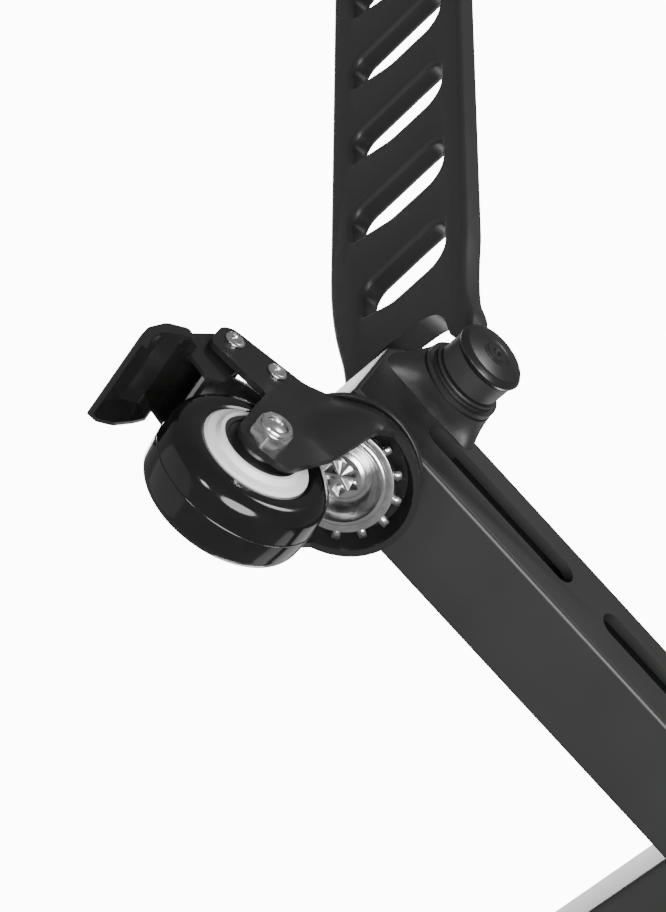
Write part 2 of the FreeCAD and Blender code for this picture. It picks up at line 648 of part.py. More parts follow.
def make_cross_tube():
    half = CROSS_SIZE / 2
    length = BEAM_SPACING - BEAM_W
    y = REAR_Y - CROSS_BACK
    middle = DECK + CROSS_LIFT + half
    solids = []
    for size in (half, half - CROSS_WALL):
        solids.append(prism([(-size, -size, 3.0), (size, -size, 3.0), (size, size, 3.0), (-size, size, 3.0)],
                            lambda u, v: V(-length / 2, y + u, middle + v), V(length, 0, 0)))
    holes = [rod(TRAY_HOLE_R, V(side * TRAY_HOLE_SPACING / 2, y, middle - half - 1),
                 V(side * TRAY_HOLE_SPACING / 2, y, middle + half + 1)) for side in (1, -1)]
    return solids[0].cut([solids[1]] + holes)


# Upright, built in its own plane: u is out from the beam's middle plane, s is up from the pivot

def in_lattice(u, s):
    return V(-u, -LATTICE_DEPTH / 2, s)


def spline_edge(points):
    curve = Part.BSplineCurve()
    curve.interpolate([in_lattice(*p) for p in points])
    return curve.toShape()


def lattice_outline():
    """Outer edge of a lattice frame: two rails that draw in to a lug inside and an eye outside the nose."""
    half = LATTICE_HALF
    lug_out = BEAM_W / 2 + GAP + LUG_W
    lug_in = BEAM_W / 2 + GAP
    first = FIRST_RUNG
    flank = EYE_OUTER - BUTTON_TRAVEL - 0.6
    outer_right = [(half, first + 34), (half - 1.4, first + 14), (half - 1.6, first), (half - 0.6, first - 9),
                   (half + 1.6, first - 19), (flank - 0.4, first - 25.5), (flank, first - 32), (flank, 0)]
    lug_bend = first - 9
    inner_right = [(EYE_INNER, 0), (EYE_INNER, 5.0), (EYE_INNER, 9.0), (EYE_INNER, 12.6),
                   (EYE_INNER - 0.6, 15.8), (31.6, 18.6), (29.5, 21.6),
                   (28.6, first - 20.5), (26.6, first - 12.5), (23.6, first - 7.0), (18.8, first - 3.4),
                   (12.4, first - 1.6),
                   (4.2, first - 0.7), (-4.4, first + 0.4), (-12.0, first - 1.0), (-lug_in + 1.2, first - 5),
                   (-lug_in, lug_bend)]
    outer_left = [(-lug_out, 0), (-lug_out, 24), (-lug_out + 0.1, first - 6), (-30.4, first + 8),
                  (-33.8, first + 24), (-36.8, first + 42), (-38.2, first + 58), (-half, first + 76)]
    top = LATTICE_TOP
    corner = 12.0
    bend = corner * (1 - math.sqrt(0.5))
    left_start, right_end = in_lattice(-half, first + 76), in_lattice(half, first + 34)
    edges = [spline_edge(outer_right), Part.makeLine(in_lattice(flank, 0), in_lattice(EYE_INNER, 0)),
             spline_edge(inner_right), Part.makeLine(in_lattice(-lug_in, lug_bend), in_lattice(-lug_in, 0)),
             Part.makeLine(in_lattice(-lug_in, 0), in_lattice(-lug_out, 0)),
             spline_edge(outer_left), Part.makeLine(left_start, in_lattice(-half, top - corner)),
             Part.Arc(in_lattice(-half, top - corner), in_lattice(-half + bend, top - bend),
                      in_lattice(-half + corner, top)).toShape(),
             Part.makeLine(in_lattice(-half + corner, top), in_lattice(half - corner, top)),
             Part.Arc(in_lattice(half - corner, top), in_lattice(half - bend, top - bend),
                      in_lattice(half, top - corner)).toShape(),
             Part.makeLine(in_lattice(half, top - corner), right_end)]
    return Part.Wire(Part.__sortEdges__(edges))


def lattice_windows():
    """The windows between the rungs; each has its low corner at the inner rail."""
    solids = []
    clear = LATTICE_HALF - RAIL_W
    for i in range(RUNG_COUNT - 1):
        low = FIRST_RUNG + i * RUNG_PITCH + RUNG_H
        high = low + RUNG_PITCH - RUNG_H
        left = -clear + (6.6 if i == 0 else 0.0)
        outline = [(left + 1.4, low + 6.5, 3.0), (-2.0, low + 0.6, 16.0), (clear, low + 2.0, WINDOW_CORNER),
                   (clear, high, WINDOW_CORNER), (6.0, high - 1.0, 20.0),
                   (left, high - 3.4, WINDOW_CORNER * 0.7)]
        solids.append(prism(outline, lambda u, v: V(-u, -LATTICE_DEPTH, v), V(0, 2 * LATTICE_DEPTH, 0)))
    return solids


def softened(solid, radius):
    """The solid with its long edges on both faces rounded, as far as its corners allow."""
    face_edges = [edge for edge in solid.Edges
                  if edge.BoundBox.YLength < 0.01 and abs(abs(edge.BoundBox.YMin) - LATTICE_DEPTH / 2) < 0.01
                  and edge.BoundBox.ZMin > 16]
    return solid.makeFillet(radius, face_edges)


def make_lattice():
    plate = Part.Face(lattice_outline()).extrude(V(0, LATTICE_DEPTH, 0))
    plate = softened(plate.cut(lattice_windows()), 2.6)
    eyes = [rod(EYE_R, V(-EYE_OUTER, 0, 0), V(-EYE_INNER, 0, 0)),
            rod(EYE_R, V(BEAM_W / 2 + GAP, 0, 0), V(BEAM_W / 2 + GAP + LUG_W, 0, 0))]
    top = LATTICE_TOP
    socket = turned([(0, top - 14, 0), (SOCKET_R - 4, top - 14, 0), (SOCKET_R, top - 4, 3.0),
                     (SOCKET_R, top + SOCKET_H, 1.5), (0, top + SOCKET_H, 0)], V(0, 0, 0), Z_AXIS, X_AXIS)
    bores = [rod(PIN_R + RUN, V(-EYE_OUTER - 1, 0, 0), V(BEAM_W / 2 + LUG_W + 2, 0, 0)),
             rod(HANDLE_R + 0.02, V(0, 0, top + SOCKET_H - HANDLE_INSERT), V(0, 0, top + SOCKET_H + 1)),
             rod(SCREW_R + 0.02, V(0, HANDLE_R - 4, top + SOCKET_H - 18),
                 V(0, SOCKET_R + 5, top + SOCKET_H - 18))]
    return fused([plate, socket] + eyes).cut(bores)


def on_upright(shape):
    """Puts a part built in the upright's plane at the left pivot, leaned back."""
    placed = shape.copy()
    placed.rotate(V(0, 0, 0), X_AXIS, -LEAN)
    placed.translate(V(-HALF_SPACING, PIVOT_Y, PIVOT_HEIGHT))
    return placed


def handle_path(start):
    """Middle line of the handle: up from the left socket, across, and down to the right one."""
    bend = HANDLE_BEND
    slack = bend * (1 - math.sqrt(0.5))
    right = BEAM_SPACING
    top = HANDLE_REACH
    corner = [Part.Arc(V(0, 0, top - bend), V(slack, 0, top - slack), V(bend, 0, top)).toShape(),
              Part.Arc(V(right - bend, 0, top), V(right - slack, 0, top - slack),
                       V(right, 0, top - bend)).toShape()]
    return Part.Wire([Part.makeLine(V(0, 0, start), V(0, 0, top - bend)), corner[0],
                      Part.makeLine(V(bend, 0, top), V(right - bend, 0, top)), corner[1],
                      Part.makeLine(V(right, 0, top - bend), V(right, 0, start))])


def make_handle():
    start = LATTICE_TOP + SOCKET_H - HANDLE_INSERT + 0.5
    solids = []
    for radius in (HANDLE_R, HANDLE_R - HANDLE_WALL):
        ring = Part.Wire([Part.makeCircle(radius, V(0, 0, start), Z_AXIS)])
        solids.append(handle_path(start).makePipeShell([ring], True, False))
    return solids[0].cut(solids[1])


def make_grip():
    middle = V(HALF_SPACING, 0, HANDLE_REACH)
    half = GRIP_LENGTH / 2
    return turned([(HANDLE_R + 0.02, -half, 0), (GRIP_R - 1.5, -half, 0), (GRIP_R, -half + 5, 4.0),
                   (GRIP_R, half - 5, 4.0), (GRIP_R - 1.5, half, 0), (HANDLE_R + 0.02, half, 0)],
                  middle, X_AXIS, Z_AXIS)


def make_socket_screw():
    z = LATTICE_TOP + SOCKET_H - 18
    shank = rod(SCREW_R, V(0, HANDLE_R, z), V(0, SOCKET_R, z))
    head = turned([(0, SOCKET_R, 0), (SCREW_R + 2.6, SOCKET_R, 0), (SCREW_R + 2.4, SOCKET_R + 2.2, 1.0),
                   (1.8, SOCKET_R + 3.0, 0), (1.8, SOCKET_R + 1.4, 0), (0, SOCKET_R + 1.4, 0)],
                  V(0, 0, z), Y_AXIS, X_AXIS)
    return fused([shank, head])


def make_pivot_pin():
    inner = BEAM_W / 2 + GAP + LUG_W
    shaft = rod(PIN_R, V(-EYE_OUTER + 4.5, 0, 0), V(inner, 0, 0))
    head = turned([(0, inner + GAP, 0), (PIN_R + 3.5, inner + GAP, 0), (PIN_R + 3.5, inner + GAP + 2.2, 1.2),
                   (PIN_R - 1, inner + GAP + 3.6, 0), (0, inner + GAP + 3.6, 0)], V(0, 0, 0), X_AXIS, Z_AXIS)
    neck = rod(PIN_R, V(inner - 1, 0, 0), V(inner + GAP + 1, 0, 0))
    return fused([shaft, neck, head])


def at_pivot(shape):
    """Puts a part built round the pivot's axis at the left pivot."""
    placed = shape.copy()
    placed.translate(V(-HALF_SPACING, PIVOT_Y, PIVOT_HEIGHT))
    return placed


def make_button():
    """A mushroom button: a shallow cup over the eye, on a stem inside it."""
    rim = EYE_OUTER + BUTTON_GAP
    face = rim + BUTTON_H
    roof = rim + BUTTON_TRAVEL - BUTTON_GAP + GAP
    stem_r = PIN_R - 0.1
    stem_end = EYE_OUTER - 4.5 + BUTTON_TRAVEL + GAP
    return turned([(0, stem_end, 0), (stem_r, stem_end, 0), (stem_r, roof, 0), (EYE_R + 0.35, roof, 0),
                   (EYE_R + 0.35, rim, 0), (BUTTON_RIM_R - 0.5, rim, 0), (BUTTON_RIM_R, rim + 1.4, 0.9),
                   (BUTTON_RIM_R - 1.6, face - 1.3, 2.2), (6.2, face - 0.1, 2.0), (5.4, face - 0.5, 0.3),
                   (4.4, face - 0.5, 0.3), (3.8, face, 0.3), (1.8, face, 0.3), (1.2, face - 0.7, 0),
                   (0, face - 0.7, 0)],
                  V(0, 0, 0), V(-1, 0, 0), Z_AXIS)


# Roller carriages, built like the beams round the rear swivel axis and the left beam's middle plane

def carriage_middle():
    return sum(slot_middle(index) for index in BOLTED_SLOTS) / len(BOLTED_SLOTS)


def roller_line():
    """The roller's axis: its distance inwards from the beam's middle plane."""
    return BEAM_W / 2 + GAP + CARRIAGE_BAR + 2 + ROLLER_R


def make_carriage():
    inner = BEAM_W / 2 + GAP
    y, half = carriage_middle(), CARRIAGE_LENGTH / 2
    low = 4.0
    bar = box((inner, y - half, low), (inner + CARRIAGE_BAR, y + half, low + CARRIAGE_H))
    line = roller_line()
    solids = [bar]
    for end in (y - half, y + half - CARRIAGE_BAR):
        ear = [(inner, low, 0), (line + 4, low, 8.0), (line + 13, ROLLER_Z - 8, 6.0),
               (line + 13, low + CARRIAGE_H, 8.0), (inner, low + CARRIAGE_H, 0)]
        solids.append(prism(ear, lambda u, v: V(u, end, v), V(0, CARRIAGE_BAR, 0)))
    cuts = [rod(ROLLER_AXLE_R + 0.02, V(line, y - half - 1, ROLLER_Z), V(line, y + half + 1, ROLLER_Z))]
    for index in BOLTED_SLOTS:
        cuts.append(rod(CLAMP_BOLT_R + 0.02, V(inner - 1, slot_middle(index), SLOT_Z),
                        V(inner + CARRIAGE_BAR + 1, slot_middle(index), SLOT_Z)))
    return fused(solids).cut(cuts)


def make_roller_axle():
    y, half, line = carriage_middle(), CARRIAGE_LENGTH / 2, roller_line()
    solids = [rod(ROLLER_AXLE_R, V(line, y - half, ROLLER_Z), V(line, y + half, ROLLER_Z))]
    for side in (1, -1):
        face = y + side * half
        solids.append(rod(ROLLER_AXLE_R + 2.5, V(line, face, ROLLER_Z), V(line, face + side * 2.0, ROLLER_Z)))
    return fused(solids)


def make_roller():
    y, half, line = carriage_middle(), CARRIAGE_LENGTH / 2 - CARRIAGE_BAR - 1.0, roller_line()
    bore, plug = ROLLER_AXLE_R + RUN, 14.0
    inner = ROLLER_R - ROLLER_WALL
    return turned([(bore, -half, 0), (ROLLER_R, -half, 1.5), (ROLLER_R, half, 1.5), (bore, half, 0),
                   (bore, half - plug, 0), (inner, half - plug, 0), (inner, plug - half, 0),
                   (bore, plug - half, 0)],
                  V(line, y, ROLLER_Z), Y_AXIS, X_AXIS)


def make_clamp_bolts():
    half = BEAM_W / 2
    outer = -half - GAP
    end = half + GAP + CARRIAGE_BAR
    solids = []
    for index in BOLTED_SLOTS:
        y = slot_middle(index)
        washer = rod(CLAMP_WASHER_R, V(outer, y, SLOT_Z), V(outer - CLAMP_WASHER_H, y, SLOT_Z))
        head = hexagon(HEX_FLATS, V(outer - CLAMP_WASHER_H, y, SLOT_Z), V(-BOLT_HEAD_H, 0, 0))
        shank = rod(CLAMP_BOLT_R, V(outer, y, SLOT_Z), V(end, y, SLOT_Z))
        solids.append(fused([washer, head, shank]))
    return Part.makeCompound(solids)


def save(name, shape):
    if isinstance(shape, list):
        shape = Part.makeCompound(shape)
    shape.exportStep("parts/" + name + ".step")


def save_pair(name, left):
    """One node for each side."""
    save("left_" + name, left)
    save("right_" + name, other_side(left))


def save_together(name, lefts):
    """One node that holds the parts of both sides."""
    save(name, lefts + [other_side(part) for part in lefts])


def main():
    os.makedirs("parts", exist_ok=True)
    stations = [("rear", REAR_Y, REAR_YAW, True), ("front", FRONT_Y, FRONT_YAW, False)]
    wheel_parts = {"tyre": make_tyre(), "hub": make_hub(), "bearings": make_bearings(),
                   "axle_bolt": make_axle_bolt(), "lock_nut": make_lock_nut()}
    brake_parts = {"pedal": make_pedal(), "rivets": make_rivets(), "brake_leaf": make_leaf()}
    fixed_parts = {"swivel_races": make_race(), "bearing_balls": make_balls(), "lock_rings": make_lock_ring(),
                   "kingpins": make_kingpin()}
    for end, y, yaw, braked in stations:
        moving = dict(wheel_parts, fork=make_fork(braked))
        if braked:
            moving.update(brake_parts)
        for name, shape in moving.items():
            save_pair(end + "_" + name, on_caster(shape, y, yaw))
    for name, shape in fixed_parts.items():
        save_together(name, [on_caster(shape, y, yaw) for end, y, yaw, braked in stations])

    save_pair("foot_beam", on_left_beam(make_beam()))
    save_together("front_caps", [on_left_beam(make_front_cap())])
    save("cross_tube", make_cross_tube())

    save_pair("lattice", on_upright(make_lattice()))
    save("handle_tube", on_upright(make_handle()))
    save("handle_grip", on_upright(make_grip()))
    save_together("socket_screws", [on_upright(make_socket_screw())])
    save_together("pivot_pins", [at_pivot(make_pivot_pin())])
    save_pair("lock_button", at_pivot(make_button()))

    save_pair("carriage", on_left_beam(make_carriage()))
    save_pair("roller_axle", on_left_beam(make_roller_axle()))
    save_pair("roller", on_left_beam(make_roller()))
    save_pair("clamp_bolts", on_left_beam(make_clamp_bolts()))


main()
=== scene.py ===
"""Wheel dolly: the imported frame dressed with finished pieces, materials, studio and camera.

Every length is in metres and every piece keeps its place in its mesh. The axes are those of the frame:
+Z up, +Y towards the folding upright, +X to the right.
"""
import json
import logging
import math
from dataclasses import dataclass, field
from enum import Enum
from typing import ClassVar, Sequence

import bmesh
import bpy
from mathutils import Matrix, Vector


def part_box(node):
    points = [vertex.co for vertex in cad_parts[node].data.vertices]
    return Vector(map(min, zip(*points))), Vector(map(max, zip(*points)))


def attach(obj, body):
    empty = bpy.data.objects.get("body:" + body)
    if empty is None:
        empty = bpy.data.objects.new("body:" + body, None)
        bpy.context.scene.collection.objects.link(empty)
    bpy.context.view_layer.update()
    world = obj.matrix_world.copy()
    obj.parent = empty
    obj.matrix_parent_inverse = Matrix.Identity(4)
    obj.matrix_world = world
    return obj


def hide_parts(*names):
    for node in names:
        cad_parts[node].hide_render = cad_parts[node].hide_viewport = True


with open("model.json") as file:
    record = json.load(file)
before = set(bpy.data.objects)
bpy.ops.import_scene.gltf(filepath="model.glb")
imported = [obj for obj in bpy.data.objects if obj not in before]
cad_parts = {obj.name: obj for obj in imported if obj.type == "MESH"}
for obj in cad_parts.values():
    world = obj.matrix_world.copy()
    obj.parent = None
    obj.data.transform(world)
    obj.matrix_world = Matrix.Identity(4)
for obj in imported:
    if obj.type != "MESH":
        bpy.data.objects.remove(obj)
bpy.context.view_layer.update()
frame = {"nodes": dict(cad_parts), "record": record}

LOG = logging.getLogger("wheel_dolly")
JOINTS: dict[str, dict] = {joint["name"]: joint for joint in frame["record"]["behaviour"]["joints"]}
SIDES: tuple[str, str] = ("left", "right")
ENDS: tuple[str, str] = ("rear", "front")
MM: float = 0.001


def swivel_point(side: str, end: str) -> Vector:
    """Where a caster's swivel axis meets the underside of its beam.

    Args:
        side: left or right.
        end: rear or front.

    Returns:
        The point in the frame.
    """
    x, y, _ = JOINTS[f"{side}_{end}_swivel_turn"]["pos_m"]
    return Vector((x, y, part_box(f"{side}_foot_beam")[0][2]))


# ---------------------------------------------------------------------------------------------------------
# Finishes
# ---------------------------------------------------------------------------------------------------------

class Grain(Enum):
    """How the fine texture of a finish is laid."""

    FINE = "fine"
    ORANGE_PEEL = "orange peel"
    TURNED = "turned"
    FOAM = "foam"


class ShaderBench:
    """Writes one node material: a Principled shader fed from object coordinates."""

    def __init__(self, name: str) -> None:
        """Starts an empty node material.

        Args:
            name: the material's name.
        """
        self.material = bpy.data.materials.new(name)
        self.material.use_nodes = True
        self.tree = self.material.node_tree
        self.tree.nodes.clear()
        self.output = self.tree.nodes.new("ShaderNodeOutputMaterial")
        self.shader = self.tree.nodes.new("ShaderNodeBsdfPrincipled")
        self.tree.links.new(self.shader.outputs["BSDF"], self.output.inputs["Surface"])
        self.coordinates = self.tree.nodes.new("ShaderNodeTexCoord")

    def link(self, source: bpy.types.NodeSocket, target: bpy.types.NodeSocket) -> None:
        """Joins two sockets."""
        self.tree.links.new(source, target)

    def constant(self, **values: float | tuple[float, ...]) -> None:
        """Sets constants on the shader's own sockets; an underscore in a name stands for a space.

        Args:
            **values: socket name and value.
        """
        for key, value in values.items():
            self.shader.inputs[key.replace("_", " ")].default_value = value

    def mapped(self, scale: tuple[float, float, float]) -> bpy.types.NodeSocket:
        """Object coordinates, stretched.

        Args:
            scale: scale along each axis.

        Returns:
            The mapped vector.
        """
        mapping = self.tree.nodes.new("ShaderNodeMapping")
        mapping.inputs["Scale"].default_value = scale
        self.link(self.coordinates.outputs["Object"], mapping.inputs["Vector"])
        return mapping.outputs["Vector"]

    def noise(self, scale: float, detail: float = 3.0, roughness: float = 0.5,
              stretch: tuple[float, float, float] = (1.0, 1.0, 1.0)) -> bpy.types.NodeSocket:
        """A noise over the object.

        Args:
            scale: repeats per metre.
            detail: octaves.
            roughness: how much the fine octaves count.
            stretch: scale along each axis.

        Returns:
            The noise's factor.
        """
        node = self.tree.nodes.new("ShaderNodeTexNoise")
        node.inputs["Scale"].default_value = scale
        node.inputs["Detail"].default_value = detail
        node.inputs["Roughness"].default_value = roughness
        self.link(self.mapped(stretch), node.inputs["Vector"])
        return node.outputs["Fac"]

    def cells(self, scale: float) -> bpy.types.NodeSocket:
        """Distance to the nearest of scattered points, for foam and cast grain."""
        node = self.tree.nodes.new("ShaderNodeTexVoronoi")
        node.inputs["Scale"].default_value = scale
        self.link(self.mapped((1.0, 1.0, 1.0)), node.inputs["Vector"])
        return node.outputs["Distance"]

    def spread(self, fac: bpy.types.NodeSocket, low: float, high: float) -> bpy.types.NodeSocket:
        """Maps a 0 to 1 factor to a range.

        Args:
            fac: the factor.
            low: value at 0.
            high: value at 1.

        Returns:
            The mapped value.
        """
        node = self.tree.nodes.new("ShaderNodeMapRange")
        node.inputs["From Min"].default_value = 0.25
        node.inputs["From Max"].default_value = 0.75
        node.inputs["To Min"].default_value = low
        node.inputs["To Max"].default_value = high
        self.link(fac, node.inputs["Value"])
        return node.outputs["Result"]

    def tint(self, fac: bpy.types.NodeSocket, dark: tuple[float, float, float],
             light: tuple[float, float, float]) -> bpy.types.NodeSocket:
        """A colour between two tones.

        Args:
            fac: the factor, centred on a half.
            dark: colour at the low end.
            light: colour at the high end.

        Returns:
            The colour.
        """
        node = self.tree.nodes.new("ShaderNodeValToRGB")
        node.color_ramp.elements[0].position = 0.3
        node.color_ramp.elements[0].color = (*dark, 1.0)
        node.color_ramp.elements[1].position = 0.7
        node.color_ramp.elements[1].color = (*light, 1.0)
        self.link(fac, node.inputs["Fac"])
        return node.outputs["Color"]

    def bump(self, height: bpy.types.NodeSocket, strength: float, distance: float,
             below: bpy.types.NodeSocket | None = None) -> bpy.types.NodeSocket:
        """A bump from a height.

        Args:
            height: the height's socket.
            strength: 0 to 1.
            distance: height of the bump in metres.
            below: a normal that this bump is laid on.

        Returns:
            The normal.
        """
        node = self.tree.nodes.new("ShaderNodeBump")
        node.inputs["Strength"].default_value = strength
        node.inputs["Distance"].default_value = distance
        self.link(height, node.inputs["Height"])
        if below is not None:
            self.link(below, node.inputs["Normal"])
        return node.outputs["Normal"]

    def finish(self, colour: bpy.types.NodeSocket | None = None,
               roughness: bpy.types.NodeSocket | None = None,
               normal: bpy.types.NodeSocket | None = None) -> bpy.types.Material:
        """Feeds the shader and hands the material over.

        Args:
            colour: base colour.
            roughness: roughness.
            normal: normal.

        Returns:
            The finished material.
        """
        for source, name in ((colour, "Base Color"), (roughness, "Roughness"), (normal, "Normal")):
            if source is not None:
                self.link(source, self.shader.inputs[name])
        return self.material


@dataclass(frozen=True)
class Coating:
    """A sprayed coat on metal, from satin powder to gloss enamel."""

    name: str
    dark: tuple[float, float, float]
    light: tuple[float, float, float]
    smooth: float
    rough: float
    peel: float = 0.00002
    peel_scale: float = 900.0
    coat: float = 0.0
    coat_roughness: float = 0.1
    specular: float = 0.5

    def build(self) -> bpy.types.Material:
        """Returns the coat's material: orange peel, cloudy gloss and a fine speckle."""
        bench = ShaderBench(self.name)
        bench.constant(Specular_IOR_Level=self.specular, Coat_Weight=self.coat,
                       Coat_Roughness=self.coat_roughness)
        cloud = bench.noise(14.0, 3.0, 0.55)
        speckle = bench.noise(self.peel_scale * 2.4, 2.0, 0.6)
        peel = bench.noise(self.peel_scale, 2.0, 0.5)
        lumps = bench.bump(peel, 0.35, self.peel)
        normal = bench.bump(speckle, 0.12, self.peel * 0.6, lumps)
        return bench.finish(bench.tint(cloud, self.dark, self.light),
                            bench.spread(cloud, self.smooth, self.rough), normal)


@dataclass(frozen=True)
class Moulding:
    """Moulded rubber, urethane or plastic."""

    name: str
    dark: tuple[float, float, float]
    light: tuple[float, float, float]
    smooth: float
    rough: float
    grain: Grain = Grain.FINE
    coat: float = 0.0
    subsurface: float = 0.0

    def build(self) -> bpy.types.Material:
        """Returns the moulding's material, with its grain and faint handling marks."""
        bench = ShaderBench(self.name)
        bench.constant(Coat_Weight=self.coat, Coat_Roughness=0.04, Subsurface_Weight=self.subsurface,
                       Subsurface_Scale=0.002)
        marks = bench.noise(60.0, 4.0, 0.6)
        if self.grain is Grain.FOAM:
            normal = bench.bump(bench.cells(900.0), 0.5, 0.00025)
        elif self.grain is Grain.ORANGE_PEEL:
            normal = bench.bump(bench.noise(160.0, 2.0, 0.5), 0.12, 0.00012)
        else:
            normal = bench.bump(bench.noise(1600.0, 2.0, 0.5), 0.1, 0.00003)
        return bench.finish(bench.tint(marks, self.dark, self.light),
                            bench.spread(marks, self.smooth, self.rough), normal)


@dataclass(frozen=True)
class Metal:
    """Bare or plated metal."""

    name: str
    dark: tuple[float, float, float]
    light: tuple[float, float, float]
    smooth: float
    rough: float
    grain: Grain = Grain.FINE
    stretch: tuple[float, float, float] = (1.0, 1.0, 1.0)

    def build(self) -> bpy.types.Material:
        """Returns the metal's material, with pressing marks or turning lines."""
        bench = ShaderBench(self.name)
        bench.constant(Metallic=1.0)
        patches = bench.noise(110.0, 4.0, 0.6)
        if self.grain is Grain.TURNED:
            lines = bench.noise(1500.0, 2.0, 0.6, self.stretch)
            normal = bench.bump(lines, 0.3, 0.00003)
        else:
            lines = bench.noise(420.0, 3.0, 0.6)
            normal = bench.bump(lines, 0.22, 0.00006)
        return bench.finish(bench.tint(patches, self.dark, self.light),
                            bench.spread(patches, self.smooth, self.rough), normal)


def grey(value: float) -> tuple[float, float, float]:
    """A neutral tone."""
    return (value, value, value)


class Finishes:
    """Every finish of the dolly, made once and handed out by name."""

    RECIPES: tuple[Coating | Moulding | Metal, ...] = (
        Coating("beam_powder_coat", grey(0.016), grey(0.020), 0.40, 0.47, 0.00002, 1100.0),
        Coating("lattice_powder_coat", grey(0.018), grey(0.023), 0.38, 0.45, 0.00002, 1100.0),
        Coating("fork_enamel", grey(0.012), grey(0.016), 0.25, 0.32, 0.00002, 500.0),
        Coating("pedal_enamel", grey(0.012), grey(0.016), 0.16, 0.22, 0.00003, 260.0),
        Moulding("tyre_urethane", grey(0.005), grey(0.008), 0.10, 0.14, Grain.ORANGE_PEEL),
        Moulding("hub_nylon", grey(0.80), grey(0.86), 0.28, 0.34, subsurface=0.08),
        Moulding("bearing_seal", grey(0.010), grey(0.016), 0.35, 0.45),
        Moulding("cap_plastic", grey(0.010), grey(0.014), 0.28, 0.36),
        Moulding("button_plastic", grey(0.009), grey(0.013), 0.26, 0.33),
        Moulding("grip_foam", grey(0.012), grey(0.018), 0.72, 0.85, Grain.FOAM),
        Metal("bright_zinc", grey(0.62), grey(0.78), 0.18, 0.30),
        Metal("polished_ball", grey(0.75), grey(0.80), 0.05, 0.08),
        Metal("turned_roller", grey(0.55), grey(0.66), 0.22, 0.30, Grain.TURNED, (0.05, 1.0, 0.05)),
    )

    def __init__(self) -> None:
        """Builds every recipe."""
        self.made: dict[str, bpy.types.Material] = {recipe.name: recipe.build() for recipe in self.RECIPES}

    def __getitem__(self, name: str) -> bpy.types.Material:
        """The material of that name."""
        return self.made[name]


# ---------------------------------------------------------------------------------------------------------
# Mesh tools
# ---------------------------------------------------------------------------------------------------------

@dataclass(frozen=True)
class Edging:
    """How the edges of a piece are eased."""

    width: float = 0.0005
    segments: int = 2
    angle: float = 30.0


def cleaned_mesh(node: str, name: str, crease: float) -> bpy.types.Mesh:
    """A copy of a frame node's mesh, merged, with flat faces whole and smooth shading.

    Args:
        node: the frame node.
        name: name of the new mesh.
        crease: angle in degrees from which an edge stays sharp.

    Returns:
        The new mesh.
    """
    mesh = frame["nodes"][node].data.copy()
    mesh.name = name
    work = bmesh.new()
    work.from_mesh(mesh)
    bmesh.ops.remove_doubles(work, verts=work.verts, dist=2e-6)
    bmesh.ops.dissolve_limit(work, angle_limit=math.radians(0.4), use_dissolve_boundaries=False,
                             verts=work.verts, edges=work.edges)
    for face in work.faces:
        face.smooth = True
    for edge in work.edges:
        edge.smooth = edge.calc_face_angle(0.0) < math.radians(crease)
    work.to_mesh(mesh)
    work.free()
    for layer in [layer.name for layer in mesh.uv_layers]:
        mesh.uv_layers.remove(mesh.uv_layers[layer])
    return mesh


class Recipe:
    """A Geometry Nodes tree with named inputs, run once on a seed object and kept as a plain mesh."""

    SOCKETS: dict[type, str] = {int: "NodeSocketInt", float: "NodeSocketFloat", Vector: "NodeSocketVector"}

    def __init__(self, name: str, **inputs: int | float | Vector) -> None:
        """Starts a tree with one input for each keyword.

        Args:
            name: the tree's name.
            **inputs: input names and their values; an underscore in a name stands for a space.
        """
        self.tree = bpy.data.node_groups.new(name, "GeometryNodeTree")
        self.tree.interface.new_socket("Geometry", in_out="INPUT", socket_type="NodeSocketGeometry")
        self.values = {key.replace("_", " "): value for key, value in inputs.items()}
        self.keys: dict[str, str] = {}
        for key, value in self.values.items():
            kind = self.SOCKETS[type(value)]
            socket = self.tree.interface.new_socket(key, in_out="INPUT", socket_type=kind)
            self.keys[key] = socket.identifier
        self.tree.interface.new_socket("Geometry", in_out="OUTPUT", socket_type="NodeSocketGeometry")
        self.entry = self.tree.nodes.new("NodeGroupInput")
        self.exit = self.tree.nodes.new("NodeGroupOutput")

    def node(self, kind: str, **links: bpy.types.NodeSocket) -> bpy.types.Node:
        """Adds a node and feeds its inputs.

        Args:
            kind: the node's type.
            **links: input name and the socket that feeds it; an underscore stands for a space.

        Returns:
            The node.
        """
        made = self.tree.nodes.new(kind)
        for key, source in links.items():
            self.tree.links.new(source, made.inputs[key.replace("_", " ")])
        return made

    def given(self, key: str) -> bpy.types.NodeSocket:
        """The socket of a named input."""
        return self.entry.outputs[key]

    def run(self, seed: bpy.types.ID, geometry: bpy.types.NodeSocket, finish: bpy.types.Material
            ) -> bpy.types.Mesh:
        """Ends the tree, runs it on an object with the seed's data, and clears up.

        Args:
            seed: mesh or curve data that the tree starts from.
            geometry: the socket with the finished geometry.
            finish: the material it is given.

        Returns:
            The plain mesh.
        """
        real = self.node("GeometryNodeRealizeInstances", Geometry=geometry)
        smooth = self.node("GeometryNodeSetShadeSmooth", Geometry=real.outputs["Geometry"])
        painted = self.node("GeometryNodeSetMaterial", Geometry=smooth.outputs["Geometry"])
        painted.inputs["Material"].default_value = finish
        self.tree.links.new(painted.outputs["Geometry"], self.exit.inputs["Geometry"])
        holder = bpy.data.objects.new(self.tree.name + "_seed", seed)
        bpy.context.scene.collection.objects.link(holder)
        modifier = holder.modifiers.new(self.tree.name, "NODES")
        modifier.node_group = self.tree
        for key, value in self.values.items():
            modifier[self.keys[key]] = tuple(value) if isinstance(value, Vector) else value
        holder.update_tag()
        evaluated = holder.evaluated_get(bpy.context.evaluated_depsgraph_get())
        mesh = bpy.data.meshes.new_from_object(evaluated)
        holder.modifiers.remove(modifier)
        bpy.data.objects.remove(holder)
        return mesh


